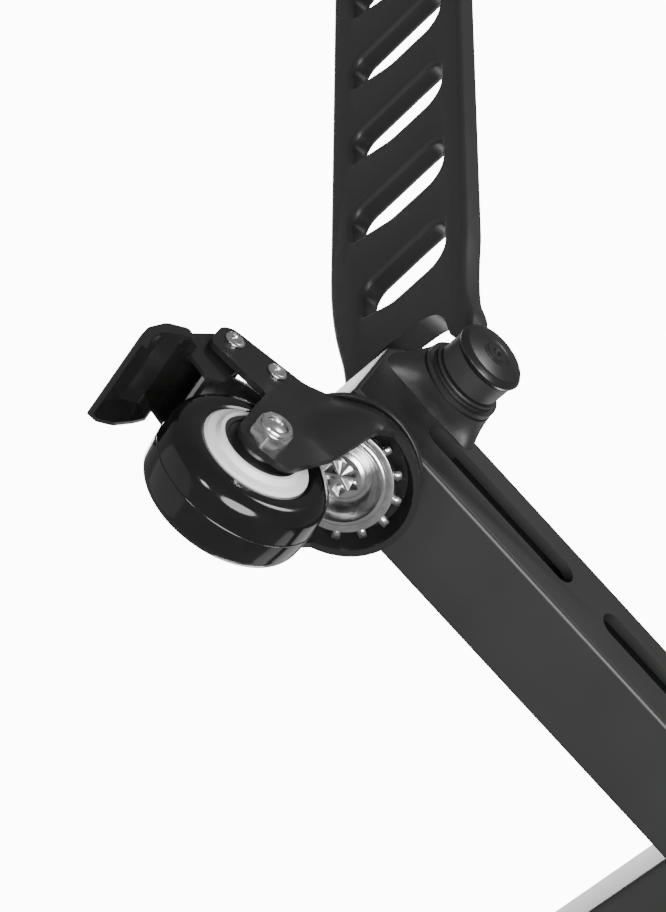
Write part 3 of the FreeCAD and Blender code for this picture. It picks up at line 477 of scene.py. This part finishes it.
class Dresser:
    """Puts finished pieces in the place of frame nodes and says what they ride on."""

    def __init__(self, finishes: Finishes) -> None:
        """Keeps the finishes at hand.

        Args:
            finishes: the dolly's materials.
        """
        self.finishes = finishes
        self.bodies: dict[str, str] = {}
        self.slots: dict[str, str] = {}
        for body, members in frame["record"]["behaviour"]["bodies"].items():
            for member in members:
                self.bodies[member] = body
        for part in frame["record"]["subparts"]:
            self.slots[part["node"]] = part["material_slot"]

    def place(self, mesh: bpy.types.Mesh, name: str, node: str, finish: str,
              slot: str | None = None) -> bpy.types.Object:
        """Makes an object of a mesh that stands for a frame node.

        Args:
            mesh: the piece's mesh.
            name: the piece's name.
            node: the frame node it stands for.
            finish: name of its material.
            slot: not used.

        Returns:
            The object.
        """
        piece = bpy.data.objects.new(name, mesh)
        bpy.context.scene.collection.objects.link(piece)
        mesh.materials.clear()
        mesh.materials.append(self.finishes[finish])
        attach(piece, self.bodies[node])
        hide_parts(node)
        LOG.info("%s: %d faces on %s", name, len(mesh.polygons), self.bodies[node])
        return piece

    def refine(self, node: str, finish: str, edging: Edging | None = None, crease: float = 30.0,
               slot: str | None = None) -> bpy.types.Object:
        """Stands a finely shaded copy of a frame node in its place.

        Args:
            node: the frame node.
            finish: name of its material.
            edging: how its edges are eased, or None to leave them.
            crease: angle from which an edge is sharp.
            slot: material slot, where it isn't the node's own.

        Returns:
            The object.
        """
        piece = self.place(cleaned_mesh(node, node + "_skin", crease), node + "_skin", node, finish, slot)
        if edging is not None:
            bevel = piece.modifiers.new("eased_edges", "BEVEL")
            bevel.width = edging.width
            bevel.segments = edging.segments
            bevel.limit_method = "ANGLE"
            bevel.angle_limit = math.radians(edging.angle)
            bevel.harden_normals = True
            bevel.use_clamp_overlap = True
        return piece


# ---------------------------------------------------------------------------------------------------------
# Sub-assemblies
# ---------------------------------------------------------------------------------------------------------

def lathed(name: str, profile: Sequence[tuple[float, float]], centre: Vector, axis: Vector, steps: int,
           crease: float = 40.0) -> bpy.types.Mesh:
    """A turned shape with smooth shading.

    Args:
        name: name of the mesh.
        profile: a closed outline of (radius, distance along the axis).
        centre: middle of the shape.
        axis: the axis it is turned about.
        steps: divisions of the turn.
        crease: angle in degrees from which an edge stays sharp.

    Returns:
        The mesh, with faces outwards.
    """
    along = axis.normalized()
    across = along.orthogonal().normalized()
    third = along.cross(across)
    work = bmesh.new()
    rings = []
    for step in range(steps):
        turn = 2 * math.pi * step / steps
        radial = across * math.cos(turn) + third * math.sin(turn)
        rings.append([work.verts.new(centre + radial * radius + along * out) for radius, out in profile])
    count = len(profile)
    for step in range(steps):
        here, there = rings[step], rings[(step + 1) % steps]
        for i in range(count):
            j = (i + 1) % count
            work.faces.new((here[i], there[i], there[j], here[j]))
    bmesh.ops.recalc_face_normals(work, faces=work.faces)
    for face in work.faces:
        face.smooth = True
    for edge in work.edges:
        edge.smooth = edge.calc_face_angle(0.0) < math.radians(crease)
    mesh = bpy.data.meshes.new(name)
    work.to_mesh(mesh)
    work.free()
    return mesh


def in_mm(points: Sequence[tuple[float, float]]) -> tuple[tuple[float, float], ...]:
    """Points given in millimetres, in metres.

    Args:
        points: pairs of millimetres.

    Returns:
        The same pairs in metres.
    """
    return tuple((first * MM, second * MM) for first, second in points)


@dataclass(frozen=True)
class HexHead:
    """A chamfered hexagon head or nut, with its corners a little worn."""

    flats: float = 13.0 * MM
    height: float = 6.0 * MM
    face: float = 6.45 * MM
    phase: float = 0.5
    chamfer: float = 30.0
    corner_power: float = 34.0
    steps: int = 120
    weld: float = 0.001 * MM
    crease: float = 24.0

    def reach(self, turn: float) -> float:
        """Radius of the hexagon at an angle.

        Args:
            turn: the angle in radians.

        Returns:
            The radius.
        """
        power = self.corner_power
        total = sum(max(0.0, math.cos(turn - self.phase - math.pi / 3 * side)) ** power for side in range(6))
        return self.flats / 2 * total ** (-1 / power)

    def mesh(self, name: str, start: Vector, along: Vector,
             top: Sequence[tuple[float, float]]) -> bpy.types.Mesh:
        """The head with a turned top.

        Args:
            name: name of the mesh.
            start: middle of its seat.
            along: direction from the seat to the top.
            top: turned outline from the top face inwards, as (radius, height above the seat); its last
                point is on the axis.

        Returns:
            The mesh.
        """
        out = along.normalized()
        across = (Vector((0, 0, 1)) - out * out.z).normalized()
        third = out.cross(across)
        slope = math.tan(math.radians(self.chamfer))
        work = bmesh.new()
        rings = []
        for step in range(self.steps):
            turn = 2 * math.pi * step / self.steps
            radial = across * math.cos(turn) + third * math.sin(turn)
            reach = self.reach(turn)
            drop = max(0.0, reach - self.face) * slope
            outline = [(self.face, 0.0), (reach, 0.0), (reach, self.height - drop),
                       (self.face, self.height), *top[:-1]]
            rings.append([work.verts.new(start + radial * radius + out * rise) for radius, rise in outline])
        closing = work.verts.new(start + out * top[-1][1])
        count = len(rings[0])
        for step in range(self.steps):
            here, there = rings[step], rings[(step + 1) % self.steps]
            for i in range(count - 1):
                work.faces.new((here[i], there[i], there[i + 1], here[i + 1]))
            work.faces.new((here[-1], there[-1], closing))
        work.faces.new([ring[0] for ring in reversed(rings)])
        bmesh.ops.remove_doubles(work, verts=work.verts, dist=self.weld)
        bmesh.ops.recalc_face_normals(work, faces=work.faces)
        for face in work.faces:
            face.smooth = True
        for edge in work.edges:
            edge.smooth = edge.calc_face_angle(0.0) < math.radians(self.crease)
        mesh = bpy.data.meshes.new(name)
        work.to_mesh(mesh)
        work.free()
        return mesh


def joined(name: str, meshes: Sequence[bpy.types.Mesh]) -> bpy.types.Mesh:
    """One mesh of several; their sharp edges are kept.

    Args:
        name: name of the new mesh.
        meshes: the meshes, which are used up.

    Returns:
        The new mesh.
    """
    work = bmesh.new()
    for mesh in meshes:
        work.from_mesh(mesh)
        bpy.data.meshes.remove(mesh)
    whole = bpy.data.meshes.new(name)
    work.to_mesh(whole)
    work.free()
    return whole


@dataclass(frozen=True)
class TyreShape:
    """The tyre's section: a crowned tread, round shoulders, flat sides and a fine moulding line."""

    bore: float = 20.3 * MM
    tread: float = 31.34 * MM
    half: float = 13.8 * MM
    shoulder: float = 6.4 * MM
    crown: float = 0.45 * MM
    line_width: float = 0.22 * MM
    line_height: float = 0.16 * MM
    line_place: float = 1.2 * MM

    def profile(self) -> list[tuple[float, float]]:
        """The closed section as (radius, distance from the wheel's middle plane).

        Returns:
            The outline's points.
        """
        points = [(self.bore, -self.half + 0.7 * MM), (self.bore + 1.2 * MM, -self.half + 0.1 * MM),
                  (self.bore + 1.9 * MM, -self.half)]
        reach = self.half - self.shoulder
        side = self.tread - self.crown - self.shoulder
        points.append((side - 1.2 * MM, -self.half))
        for step in range(15):
            turn = math.pi / 2 * step / 14
            points.append((side + self.shoulder * math.sin(turn), -reach - self.shoulder * math.cos(turn)))
        for step in range(1, 24):
            out = -reach + 2 * reach * step / 24
            if abs(out - self.line_place) > 2 * self.line_width:
                points.append((self.tread - self.crown * (out / reach) ** 2, out))
        points.sort(key=lambda point: point[1] if point[0] > side + self.shoulder * 0.99 else -1.0)
        tread = [point for point in points if point[0] > side + self.shoulder * 0.99]
        rest = [point for point in points if point not in tread]
        base = self.tread - self.crown * (self.line_place / reach) ** 2
        tread += [(base, self.line_place - self.line_width), (base + self.line_height, self.line_place),
                  (base, self.line_place + self.line_width)]
        tread.sort(key=lambda point: point[1])
        mirrored = [(radius, -out) for radius, out in reversed(rest)]
        return rest + tread + mirrored


@dataclass
class FootBeams:
    """The two slotted beams with their cast ends, front caps, pivot pins and the cross tube."""

    dresser: Dresser
    edging: Edging = field(default_factory=lambda: Edging(0.0006, 3, 32.0))

    def dress(self) -> None:
        """Dresses the beams and what is fixed to them."""
        for side in SIDES:
            self.dresser.refine(f"{side}_foot_beam", "beam_powder_coat", self.edging)
        self.dresser.refine("cross_tube", "beam_powder_coat", Edging(0.0004, 2))
        self.dresser.refine("front_caps", "cap_plastic", Edging(0.0005, 2))
        self.dresser.refine("pivot_pins", "bright_zinc", Edging(0.0003, 2))


@dataclass
class Caster:
    """One swivel caster: wheel, fork, axle and, on the rear ones, the brake."""

    dresser: Dresser
    side: str
    end: str
    leg_face: float = 19.7 * MM
    shank: float = 4.0 * MM
    bolt_end: float = 26.9 * MM
    pole: float = 0.001 * MM
    head_height: float = 5.3 * MM
    hood_weld: float = 0.005 * MM
    hood_crease: float = 32.0

    # Turned tops: (radius, height over the seat) in mm.
    NUT_TOP: ClassVar = (
        (6.0, 6.0), (6.0, 7.1), (5.75, 7.65), (5.3, 7.9), (4.35, 7.9), (4.15, 7.7), (4.1, 6.4), (0.0, 6.4))
    HEAD_TOP: ClassVar = ((5.0, 5.3), (4.8, 5.15), (0.0, 5.15))
    # Opening in the pedal hood's near side: (behind, below) the pedal's pivot in mm, and its reach across.
    HOOD_OPENING: ClassVar = (
        (12.0, 18.6), (15.6, 22.0), (18.4, 24.8), (20.4, 28.4), (21.0, 32.4), (20.9, 35.4), (19.4, 44.0),
        (2.0, 44.0), (4.0, 31.0), (8.0, 21.0))
    HOOD_SIDE: ClassVar = (14.1, 20.5)

    @property
    def stem(self) -> str:
        """Start of this caster's node names."""
        return f"{self.side}_{self.end}"

    def nut_side(self) -> tuple[Vector, Vector]:
        """Middle of the wheel, and the direction from it to the lock nut."""
        middle = Vector(JOINTS[f"{self.stem}_wheel_spin"]["pos_m"])
        low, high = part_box(f"{self.stem}_lock_nut")
        return middle, ((low + high) / 2 - middle).normalized()

    def dress_wheel(self) -> None:
        """Dresses the tyre, the hub and its bearings."""
        spin = JOINTS[f"{self.stem}_wheel_spin"]
        tyre = lathed(f"{self.stem}_tyre_moulding", TyreShape().profile(), Vector(spin["pos_m"]),
                      Vector(spin["axis"]), 160)
        self.dresser.place(tyre, f"{self.stem}_tyre_moulding", f"{self.stem}_tyre", "tyre_urethane")
        self.dresser.refine(f"{self.stem}_hub", "hub_nylon", Edging(0.0003, 2))
        self.dresser.refine(f"{self.stem}_bearings", "bearing_seal", Edging(0.0002, 2))

    def dress_fork(self) -> None:
        """Dresses the fork and the axle's bolt and nut."""
        self.dresser.refine(f"{self.stem}_fork", "fork_enamel", Edging(0.0004, 3, 40.0), 35.0)
        self.dress_axle()

    def dress_axle(self) -> None:
        """Makes the axle bolt with its head, and the locking nut with its collar."""
        middle, out = self.nut_side()
        leg, shank, end = self.leg_face, self.shank, self.bolt_end
        nut = HexHead().mesh(f"{self.stem}_nut", middle + out * leg, out, in_mm(self.NUT_TOP))
        self.dresser.place(nut, f"{self.stem}_nut", f"{self.stem}_lock_nut", "bright_zinc")
        head = HexHead(height=self.head_height).mesh(f"{self.stem}_head", middle - out * leg, -out,
                                                     in_mm(self.HEAD_TOP))
        rod = lathed(f"{self.stem}_shank", (
            (self.pole, -leg), (shank, -leg), (shank, end - 0.7 * MM), (shank - 0.25 * MM, end - 0.3 * MM),
            (shank - 0.8 * MM, end), (self.pole, end + 0.15 * MM)), middle, out, 48)
        bolt = joined(f"{self.stem}_bolt", (head, rod))
        self.dresser.place(bolt, f"{self.stem}_bolt", f"{self.stem}_axle_bolt", "bright_zinc")

    def dress_brake(self) -> None:
        """Dresses the pedal, the leaf and the rivets they turn on."""
        self.dress_pedal()
        self.dresser.refine(f"{self.stem}_brake_leaf", "bright_zinc", Edging(0.0002, 2))
        self.dresser.refine(f"{self.stem}_rivets", "bright_zinc", Edging(0.0002, 2))

    def dress_pedal(self) -> None:
        """Opens the near side of the pedal's hood down to a rim."""
        node = f"{self.stem}_pedal"
        joint = JOINTS[f"{node}_press"]
        pivot, axle = Vector(joint["pos_m"]), Vector(joint["axis"]).normalized()
        swivel = swivel_point(self.side, self.end)
        back = (Vector((pivot.x, pivot.y, 0)) - Vector((swivel.x, swivel.y, 0))).normalized()
        near = math.copysign(1.0, self.nut_side()[1].dot(axle))
        work = bmesh.new()
        rings = [[work.verts.new(pivot + back * (behind * MM) + axle * (near * across * MM)
                                 - Vector((0, 0, below * MM)))
                  for behind, below in self.HOOD_OPENING] for across in self.HOOD_SIDE]
        for i in range(len(self.HOOD_OPENING)):
            j = (i + 1) % len(self.HOOD_OPENING)
            work.faces.new((rings[0][i], rings[0][j], rings[1][j], rings[1][i]))
        for ring in rings:
            work.faces.new(ring)
        bmesh.ops.recalc_face_normals(work, faces=work.faces)
        cutter_mesh = bpy.data.meshes.new(node + "_cutter")
        work.to_mesh(cutter_mesh)
        work.free()
        cutter = bpy.data.objects.new(node + "_cutter", cutter_mesh)
        blank = bpy.data.objects.new(node + "_blank", cleaned_mesh(node, node + "_blank", 35.0))
        for holder in (cutter, blank):
            bpy.context.scene.collection.objects.link(holder)
        cut = blank.modifiers.new("open_side", "BOOLEAN")
        cut.operation = "DIFFERENCE"
        cut.solver = "EXACT"
        cut.object = cutter
        evaluated = blank.evaluated_get(bpy.context.evaluated_depsgraph_get())
        mesh = bpy.data.meshes.new_from_object(evaluated)
        for holder in (cutter, blank):
            bpy.data.objects.remove(holder)
        work = bmesh.new()
        work.from_mesh(mesh)
        bmesh.ops.remove_doubles(work, verts=work.verts, dist=self.hood_weld)
        for edge in work.edges:
            edge.smooth = edge.calc_face_angle(0.0) < math.radians(self.hood_crease)
        work.to_mesh(mesh)
        work.free()
        self.dresser.place(mesh, node + "_pressing", node, "pedal_enamel")

    def dress(self) -> None:
        """Dresses the whole caster."""
        self.dress_wheel()
        self.dress_fork()
        if self.end == "rear":
            self.dress_brake()


@dataclass
class SwivelHeads:
    """The races and kingpins of all four casters."""

    dresser: Dresser

    def dress(self) -> None:
        """Dresses the swivel parts."""
        self.dresser.refine("swivel_races", "fork_enamel", Edging(0.0002, 2), slot="fork_paint")
        self.dresser.refine("kingpins", "bright_zinc", Edging(0.0001, 1), 20.0)


@dataclass
class LockRings:
    """The dished rings under the swivel heads, each with a row of teeth for a swivel lock."""

    # The dish's section: (radius, height over the beam's underside) in mm.
    SECTION: ClassVar = (
        (5.05, -11.35), (12.6, -11.35), (15.4, -13.3), (17.2, -16.4), (20.9, -16.6), (20.95, -18.3),
        (20.5, -19.0), (19.9, -19.2), (18.9, -19.2), (18.6, -18.8), (18.2, -18.8), (17.9, -19.5),
        (17.2, -19.9), (16.3, -19.8), (15.5, -19.0), (14.6, -17.4), (13.4, -15.7), (12.0, -14.5),
        (10.6, -14.0), (5.05, -13.9))
    dresser: Dresser
    teeth: int = 14
    tooth_width: float = 3.2 * MM
    tooth_reach: float = 23.6 * MM
    rim: float = 20.9 * MM
    tooth_root: float = 2.2 * MM
    tooth_height: float = 1.9 * MM
    tooth_bevel: float = 0.25 * MM
    tooth_drop: float = 17.7 * MM
    turn: float = 0.16

    def dish(self, axis: Vector) -> bpy.types.Mesh:
        """One ring, turned about its swivel axis.

        Args:
            axis: where the swivel axis meets the beam.

        Returns:
            The ring's mesh.
        """
        return lathed("lock_ring", in_mm(self.SECTION), axis, Vector((0, 0, 1)), 120, 38.0)

    def tooth_row(self, axis: Vector) -> bpy.types.Mesh:
        """The teeth of one ring.

        Args:
            axis: where the swivel axis meets the beam.

        Returns:
            The teeth's mesh.
        """
        length = self.tooth_reach - self.rim + self.tooth_root
        middle = self.tooth_reach - length / 2
        recipe = Recipe("lock_ring_teeth", Count=self.teeth, Pitch=middle,
                        Size=Vector((length, self.tooth_width, self.tooth_height)),
                        Turn=Vector((0.0, 0.0, self.turn)), Centre=axis - Vector((0, 0, self.tooth_drop)))
        ring = recipe.node("GeometryNodeMeshCircle", Vertices=recipe.given("Count"),
                           Radius=recipe.given("Pitch"))
        block = recipe.node("GeometryNodeMeshCube", Size=recipe.given("Size"))
        place = recipe.node("GeometryNodeInputPosition")
        facing = recipe.node("FunctionNodeAlignEulerToVector", Vector=place.outputs["Position"])
        facing.axis = "X"
        facing.pivot_axis = "Z"
        row = recipe.node("GeometryNodeInstanceOnPoints", Points=ring.outputs["Mesh"],
                          Instance=block.outputs["Mesh"], Rotation=facing.outputs["Rotation"])
        moved = recipe.node("GeometryNodeTransform", Geometry=row.outputs["Instances"],
                            Translation=recipe.given("Centre"), Rotation=recipe.given("Turn"))
        mesh = recipe.run(bpy.data.meshes.new("tooth_seed"), moved.outputs["Geometry"],
                          self.dresser.finishes["bright_zinc"])
        work = bmesh.new()
        work.from_mesh(mesh)
        bmesh.ops.bevel(work, geom=work.edges[:], offset=self.tooth_bevel, segments=2, affect="EDGES")
        work.to_mesh(mesh)
        work.free()
        return mesh

    def dress(self) -> None:
        """Lays the four rings as one piece."""
        meshes = []
        for side in SIDES:
            for end in ENDS:
                axis = swivel_point(side, end)
                meshes += [self.dish(axis), self.tooth_row(axis)]
        self.dresser.place(joined("toothed_rings", meshes), "toothed_rings", "lock_rings", "bright_zinc")


@dataclass
class BallRows:
    """The rows of balls between each swivel race and its beam."""

    dresser: Dresser
    count: int = 12
    pitch: float = 17.0 * MM
    ball: float = 2.0 * MM

    def row(self, centre: Vector) -> bpy.types.Mesh:
        """One row of balls.

        Args:
            centre: middle of the row.

        Returns:
            Its mesh.
        """
        recipe = Recipe("ball_row", Count=self.count, Pitch=self.pitch, Ball=self.ball, Centre=centre)
        ring = recipe.node("GeometryNodeMeshCircle", Vertices=recipe.given("Count"),
                           Radius=recipe.given("Pitch"))
        ball = recipe.node("GeometryNodeMeshUVSphere", Radius=recipe.given("Ball"))
        ball.inputs["Segments"].default_value = 20
        ball.inputs["Rings"].default_value = 12
        balls = recipe.node("GeometryNodeInstanceOnPoints", Points=ring.outputs["Mesh"],
                            Instance=ball.outputs["Mesh"])
        moved = recipe.node("GeometryNodeTransform", Geometry=balls.outputs["Instances"],
                            Translation=recipe.given("Centre"))
        return recipe.run(bpy.data.meshes.new("ball_seed"), moved.outputs["Geometry"],
                          self.dresser.finishes["polished_ball"])

    def dress(self) -> None:
        """Lays the four rows as one piece."""
        low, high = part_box("bearing_balls")
        middle = (low.z + high.z) / 2
        work = bmesh.new()
        for side in SIDES:
            for end in ENDS:
                axis = swivel_point(side, end)
                row = self.row(Vector((axis.x, axis.y, middle)))
                work.from_mesh(row)
                bpy.data.meshes.remove(row)
        mesh = bpy.data.meshes.new("ball_rows")
        work.to_mesh(mesh)
        work.free()
        for face in mesh.polygons:
            face.use_smooth = True
        self.dresser.place(mesh, "ball_rows", "bearing_balls", "polished_ball")


@dataclass
class HandleBow:
    """The bent handle tube: up from the left socket, across, and down into the right one."""

    dresser: Dresser
    lean: float = 24.5
    reach: float = 850.0 * MM
    start: float = 359.5 * MM
    bend: float = 70.0 * MM
    radius: float = 12.5 * MM

    def path(self) -> bpy.types.Curve:
        """The tube's middle line, as a Bezier curve.

        Returns:
            The curve's data.
        """
        pivot = Vector(JOINTS["upright_fold"]["pos_m"])
        lean = math.radians(self.lean)
        along = Vector((0.0, math.sin(lean), math.cos(lean)))
        half = abs(swivel_point("left", "rear").x)
        arm = self.bend * 4 / 3 * math.tan(math.radians(90) / 4)
        points: list[tuple[Vector, Vector, Vector]] = []
        turn = self.reach - self.bend
        for x, s, before, after in (
                (-half, self.start, (0, 0), (0, 0)), (-half, turn, (0, 0), (0, arm)),
                (self.bend - half, self.reach, (-arm, 0), (0, 0)),
                (half - self.bend, self.reach, (0, 0), (arm, 0)),
                (half, turn, (0, arm), (0, 0)), (half, self.start, (0, 0), (0, 0))):
            at = pivot + Vector((x, 0, 0)) + along * s
            points.append((at + Vector((before[0], 0, 0)) + along * before[1], at,
                           at + Vector((after[0], 0, 0)) + along * after[1]))
        curve = bpy.data.curves.new("handle_line", "CURVE")
        curve.dimensions = "3D"
        spline = curve.splines.new("BEZIER")
        spline.bezier_points.add(len(points) - 1)
        for knot, (before, at, after) in zip(spline.bezier_points, points):
            knot.handle_left_type = knot.handle_right_type = "FREE"
            knot.co, knot.handle_left, knot.handle_right = at, before, after
        spline.resolution_u = 24
        return curve

    def dress(self) -> None:
        """Sweeps the tube along its line."""
        recipe = Recipe("handle_sweep", Radius=self.radius)
        ring = recipe.node("GeometryNodeCurvePrimitiveCircle", Radius=recipe.given("Radius"))
        ring.inputs["Resolution"].default_value = 48
        tube = recipe.node("GeometryNodeCurveToMesh", Curve=recipe.given("Geometry"),
                           Profile_Curve=ring.outputs["Curve"])
        tube.inputs["Fill Caps"].default_value = True
        mesh = recipe.run(self.path(), tube.outputs["Mesh"], self.dresser.finishes["lattice_powder_coat"])
        mesh.name = "handle_bow"
        work = bmesh.new()
        work.from_mesh(mesh)
        bmesh.ops.recalc_face_normals(work, faces=work.faces)
        for edge in work.edges:
            edge.smooth = edge.calc_face_angle(0.0) < math.radians(50)
        work.to_mesh(mesh)
        work.free()
        self.dresser.place(mesh, "handle_bow", "handle_tube", "lattice_powder_coat")


@dataclass
class Upright:
    """The folding upright: two lattice frames joined by the handle, with grip, screws and buttons."""

    dresser: Dresser

    def dress(self) -> None:
        """Dresses the upright and its buttons."""
        for side in SIDES:
            self.dresser.refine(f"{side}_lattice", "lattice_powder_coat", Edging(0.0003, 2))
            self.dresser.refine(f"{side}_lock_button", "button_plastic", Edging(0.0004, 2), 25.0)
        HandleBow(self.dresser).dress()
        self.dresser.refine("handle_grip", "grip_foam", None, 45.0)
        self.dresser.refine("socket_screws", "bright_zinc", Edging(0.0002, 2))


@dataclass
class RollerCarriage:
    """A carriage bolted in the beam's slots, with its roller."""

    dresser: Dresser
    side: str

    def dress(self) -> None:
        """Dresses the carriage, its bolts, axle and roller."""
        self.dresser.refine(f"{self.side}_carriage", "beam_powder_coat", Edging(0.0004, 2))
        self.dresser.refine(f"{self.side}_roller_axle", "bright_zinc", Edging(0.0003, 2))
        self.dresser.refine(f"{self.side}_clamp_bolts", "bright_zinc", Edging(0.0003, 2))
        self.dresser.refine(f"{self.side}_roller", "turned_roller", Edging(0.0004, 2))


# ---------------------------------------------------------------------------------------------------------
# Studio
# ---------------------------------------------------------------------------------------------------------

@dataclass(frozen=True)
class Softbox:
    """A rectangular soft light that looks at a point."""

    name: str
    direction: tuple[float, float, float]
    distance: float
    target: Vector
    width: float
    height: float
    power: float

    def build(self) -> bpy.types.Object:
        """Returns the lamp, turned to its target."""
        lamp = bpy.data.lights.new(self.name, "AREA")
        lamp.shape = "ELLIPSE"
        lamp.size = self.width
        lamp.size_y = self.height
        lamp.energy = self.power
        holder = bpy.data.objects.new(self.name, lamp)
        bpy.context.scene.collection.objects.link(holder)
        away = Vector(self.direction).normalized()
        place = Matrix.Translation(self.target + away * self.distance)
        holder.matrix_world = place @ away.to_track_quat("Z", "Y").to_matrix().to_4x4()
        return holder


@dataclass
class Studio:
    """Pale floor, pale surroundings, soft lights and the camera."""

    floor_size: float = 12.0
    floor_tone: float = 0.72
    surround: float = 12.0
    camera_from_axis: tuple[float, float, float] = (-0.6045, 0.1176, -1.0377)
    camera_right: tuple[float, float, float] = (-0.6651, -0.6756, 0.3182)
    camera_up: tuple[float, float, float] = (-0.5500, 0.7313, 0.4031)
    lens: float = 135.75

    def lay_floor(self) -> bpy.types.Object:
        """Lays the floor at the wheels' lowest point. It is see-through from underneath.

        Returns:
            The floor.
        """
        half = self.floor_size / 2
        mesh = bpy.data.meshes.new("floor")
        mesh.from_pydata([(-half, -half, 0), (half, -half, 0), (half, half, 0), (-half, half, 0)], [],
                         [(0, 1, 2, 3)])
        floor = bpy.data.objects.new("floor", mesh)
        bpy.context.scene.collection.objects.link(floor)
        material = bpy.data.materials.new("pale_floor")
        material.use_nodes = True
        tree = material.node_tree
        tree.nodes.clear()
        paint = tree.nodes.new("ShaderNodeBsdfDiffuse")
        paint.inputs["Color"].default_value = (*grey(self.floor_tone), 1.0)
        clear = tree.nodes.new("ShaderNodeBsdfTransparent")
        path = tree.nodes.new("ShaderNodeLightPath")
        facing = tree.nodes.new("ShaderNodeNewGeometry")
        from_below = tree.nodes.new("ShaderNodeMath")
        from_below.operation = "MAXIMUM"
        unseen = tree.nodes.new("ShaderNodeMath")
        unseen.operation = "SUBTRACT"
        unseen.inputs[0].default_value = 1.0
        mix = tree.nodes.new("ShaderNodeMixShader")
        output = tree.nodes.new("ShaderNodeOutputMaterial")
        tree.links.new(path.outputs["Is Camera Ray"], unseen.inputs[1])
        tree.links.new(facing.outputs["Backfacing"], from_below.inputs[0])
        tree.links.new(unseen.outputs[0], from_below.inputs[1])
        tree.links.new(from_below.outputs[0], mix.inputs["Fac"])
        tree.links.new(paint.outputs["BSDF"], mix.inputs[1])
        tree.links.new(clear.outputs["BSDF"], mix.inputs[2])
        tree.links.new(mix.outputs["Shader"], output.inputs["Surface"])
        mesh.materials.append(material)
        return floor

    def paint_surround(self) -> None:
        """Makes the surroundings pale to look at and dimmer as a light."""
        world = bpy.data.worlds.new("pale_surround")
        bpy.context.scene.world = world
        world.use_nodes = True
        tree = world.node_tree
        tree.nodes.clear()
        seen = tree.nodes.new("ShaderNodeBackground")
        seen.inputs["Color"].default_value = (1.0, 1.0, 1.0, 1.0)
        seen.inputs["Strength"].default_value = self.surround
        light = tree.nodes.new("ShaderNodeBackground")
        light.inputs["Color"].default_value = (1.0, 1.0, 1.0, 1.0)
        light.inputs["Strength"].default_value = 0.25
        path = tree.nodes.new("ShaderNodeLightPath")
        mix = tree.nodes.new("ShaderNodeMixShader")
        output = tree.nodes.new("ShaderNodeOutputWorld")
        tree.links.new(path.outputs["Is Camera Ray"], mix.inputs["Fac"])
        tree.links.new(light.outputs["Background"], mix.inputs[1])
        tree.links.new(seen.outputs["Background"], mix.inputs[2])
        tree.links.new(mix.outputs["Shader"], output.inputs["Surface"])

    def hang_lights(self) -> None:
        """Hangs the soft lights round the dolly."""
        corner = swivel_point("left", "rear")
        boxes = (
            Softbox("round_key", (-0.44, -0.24, -0.86), 1.5, corner, 1.0, 1.3, 44.0),
            Softbox("small_key", (-0.15, 0.46, -0.88), 1.5, corner, 0.30, 0.30, 5.0),
            Softbox("left_strip", (0.69, 0.65, -0.33), 1.6, corner, 1.4, 1.8, 2.0),
            Softbox("low_strip", (0.45, -0.79, 0.42), 1.5, corner, 1.8, 1.4, 5.0),
            Softbox("fillet_strip", (-0.86, -0.05, 0.52), 1.8, corner, 0.5, 0.5, 8.0),
            Softbox("overhead", (0.50, 0.13, 0.86), 2.2, corner, 1.2, 1.2, 32.0),
            Softbox("far_side", (0.80, -0.55, 0.30), 2.4, corner, 1.2, 1.2, 20.0),
        )
        for softbox in boxes:
            softbox.build()

    def set_camera(self) -> bpy.types.Object:
        """Sets the camera low behind the left rear caster, looking up along the beam.

        Returns:
            The camera.
        """
        lens = bpy.data.cameras.new("camera")
        lens.sensor_fit = "VERTICAL"
        lens.sensor_height = 36.0
        lens.lens = self.lens
        lens.clip_start = 0.05
        lens.clip_end = 50.0
        lens.dof.use_dof = False
        camera = bpy.data.objects.new("camera", lens)
        bpy.context.scene.collection.objects.link(camera)
        right = Vector(self.camera_right).normalized()
        up = (Vector(self.camera_up) - right * right.dot(Vector(self.camera_up))).normalized()
        back = right.cross(up)
        place = swivel_point("left", "rear") + Vector(self.camera_from_axis)
        camera.matrix_world = Matrix(((right.x, up.x, back.x, place.x), (right.y, up.y, back.y, place.y),
                                      (right.z, up.z, back.z, place.z), (0, 0, 0, 1)))
        bpy.context.scene.camera = camera
        return camera

    def build(self) -> None:
        """Builds the studio."""
        self.set_camera()
        self.lay_floor()
        self.paint_surround()
        self.hang_lights()


def main() -> None:
    """Builds the studio and dresses every sub-assembly."""
    logging.basicConfig(level=logging.INFO, format="%(name)s: %(message)s")
    Studio().build()
    dresser = Dresser(Finishes())
    FootBeams(dresser).dress()
    SwivelHeads(dresser).dress()
    BallRows(dresser).dress()
    LockRings(dresser).dress()
    for side in SIDES:
        for end in ENDS:
            Caster(dresser, side, end).dress()
        RollerCarriage(dresser, side).dress()
    Upright(dresser).dress()


if __name__ == "__main__":
    main()
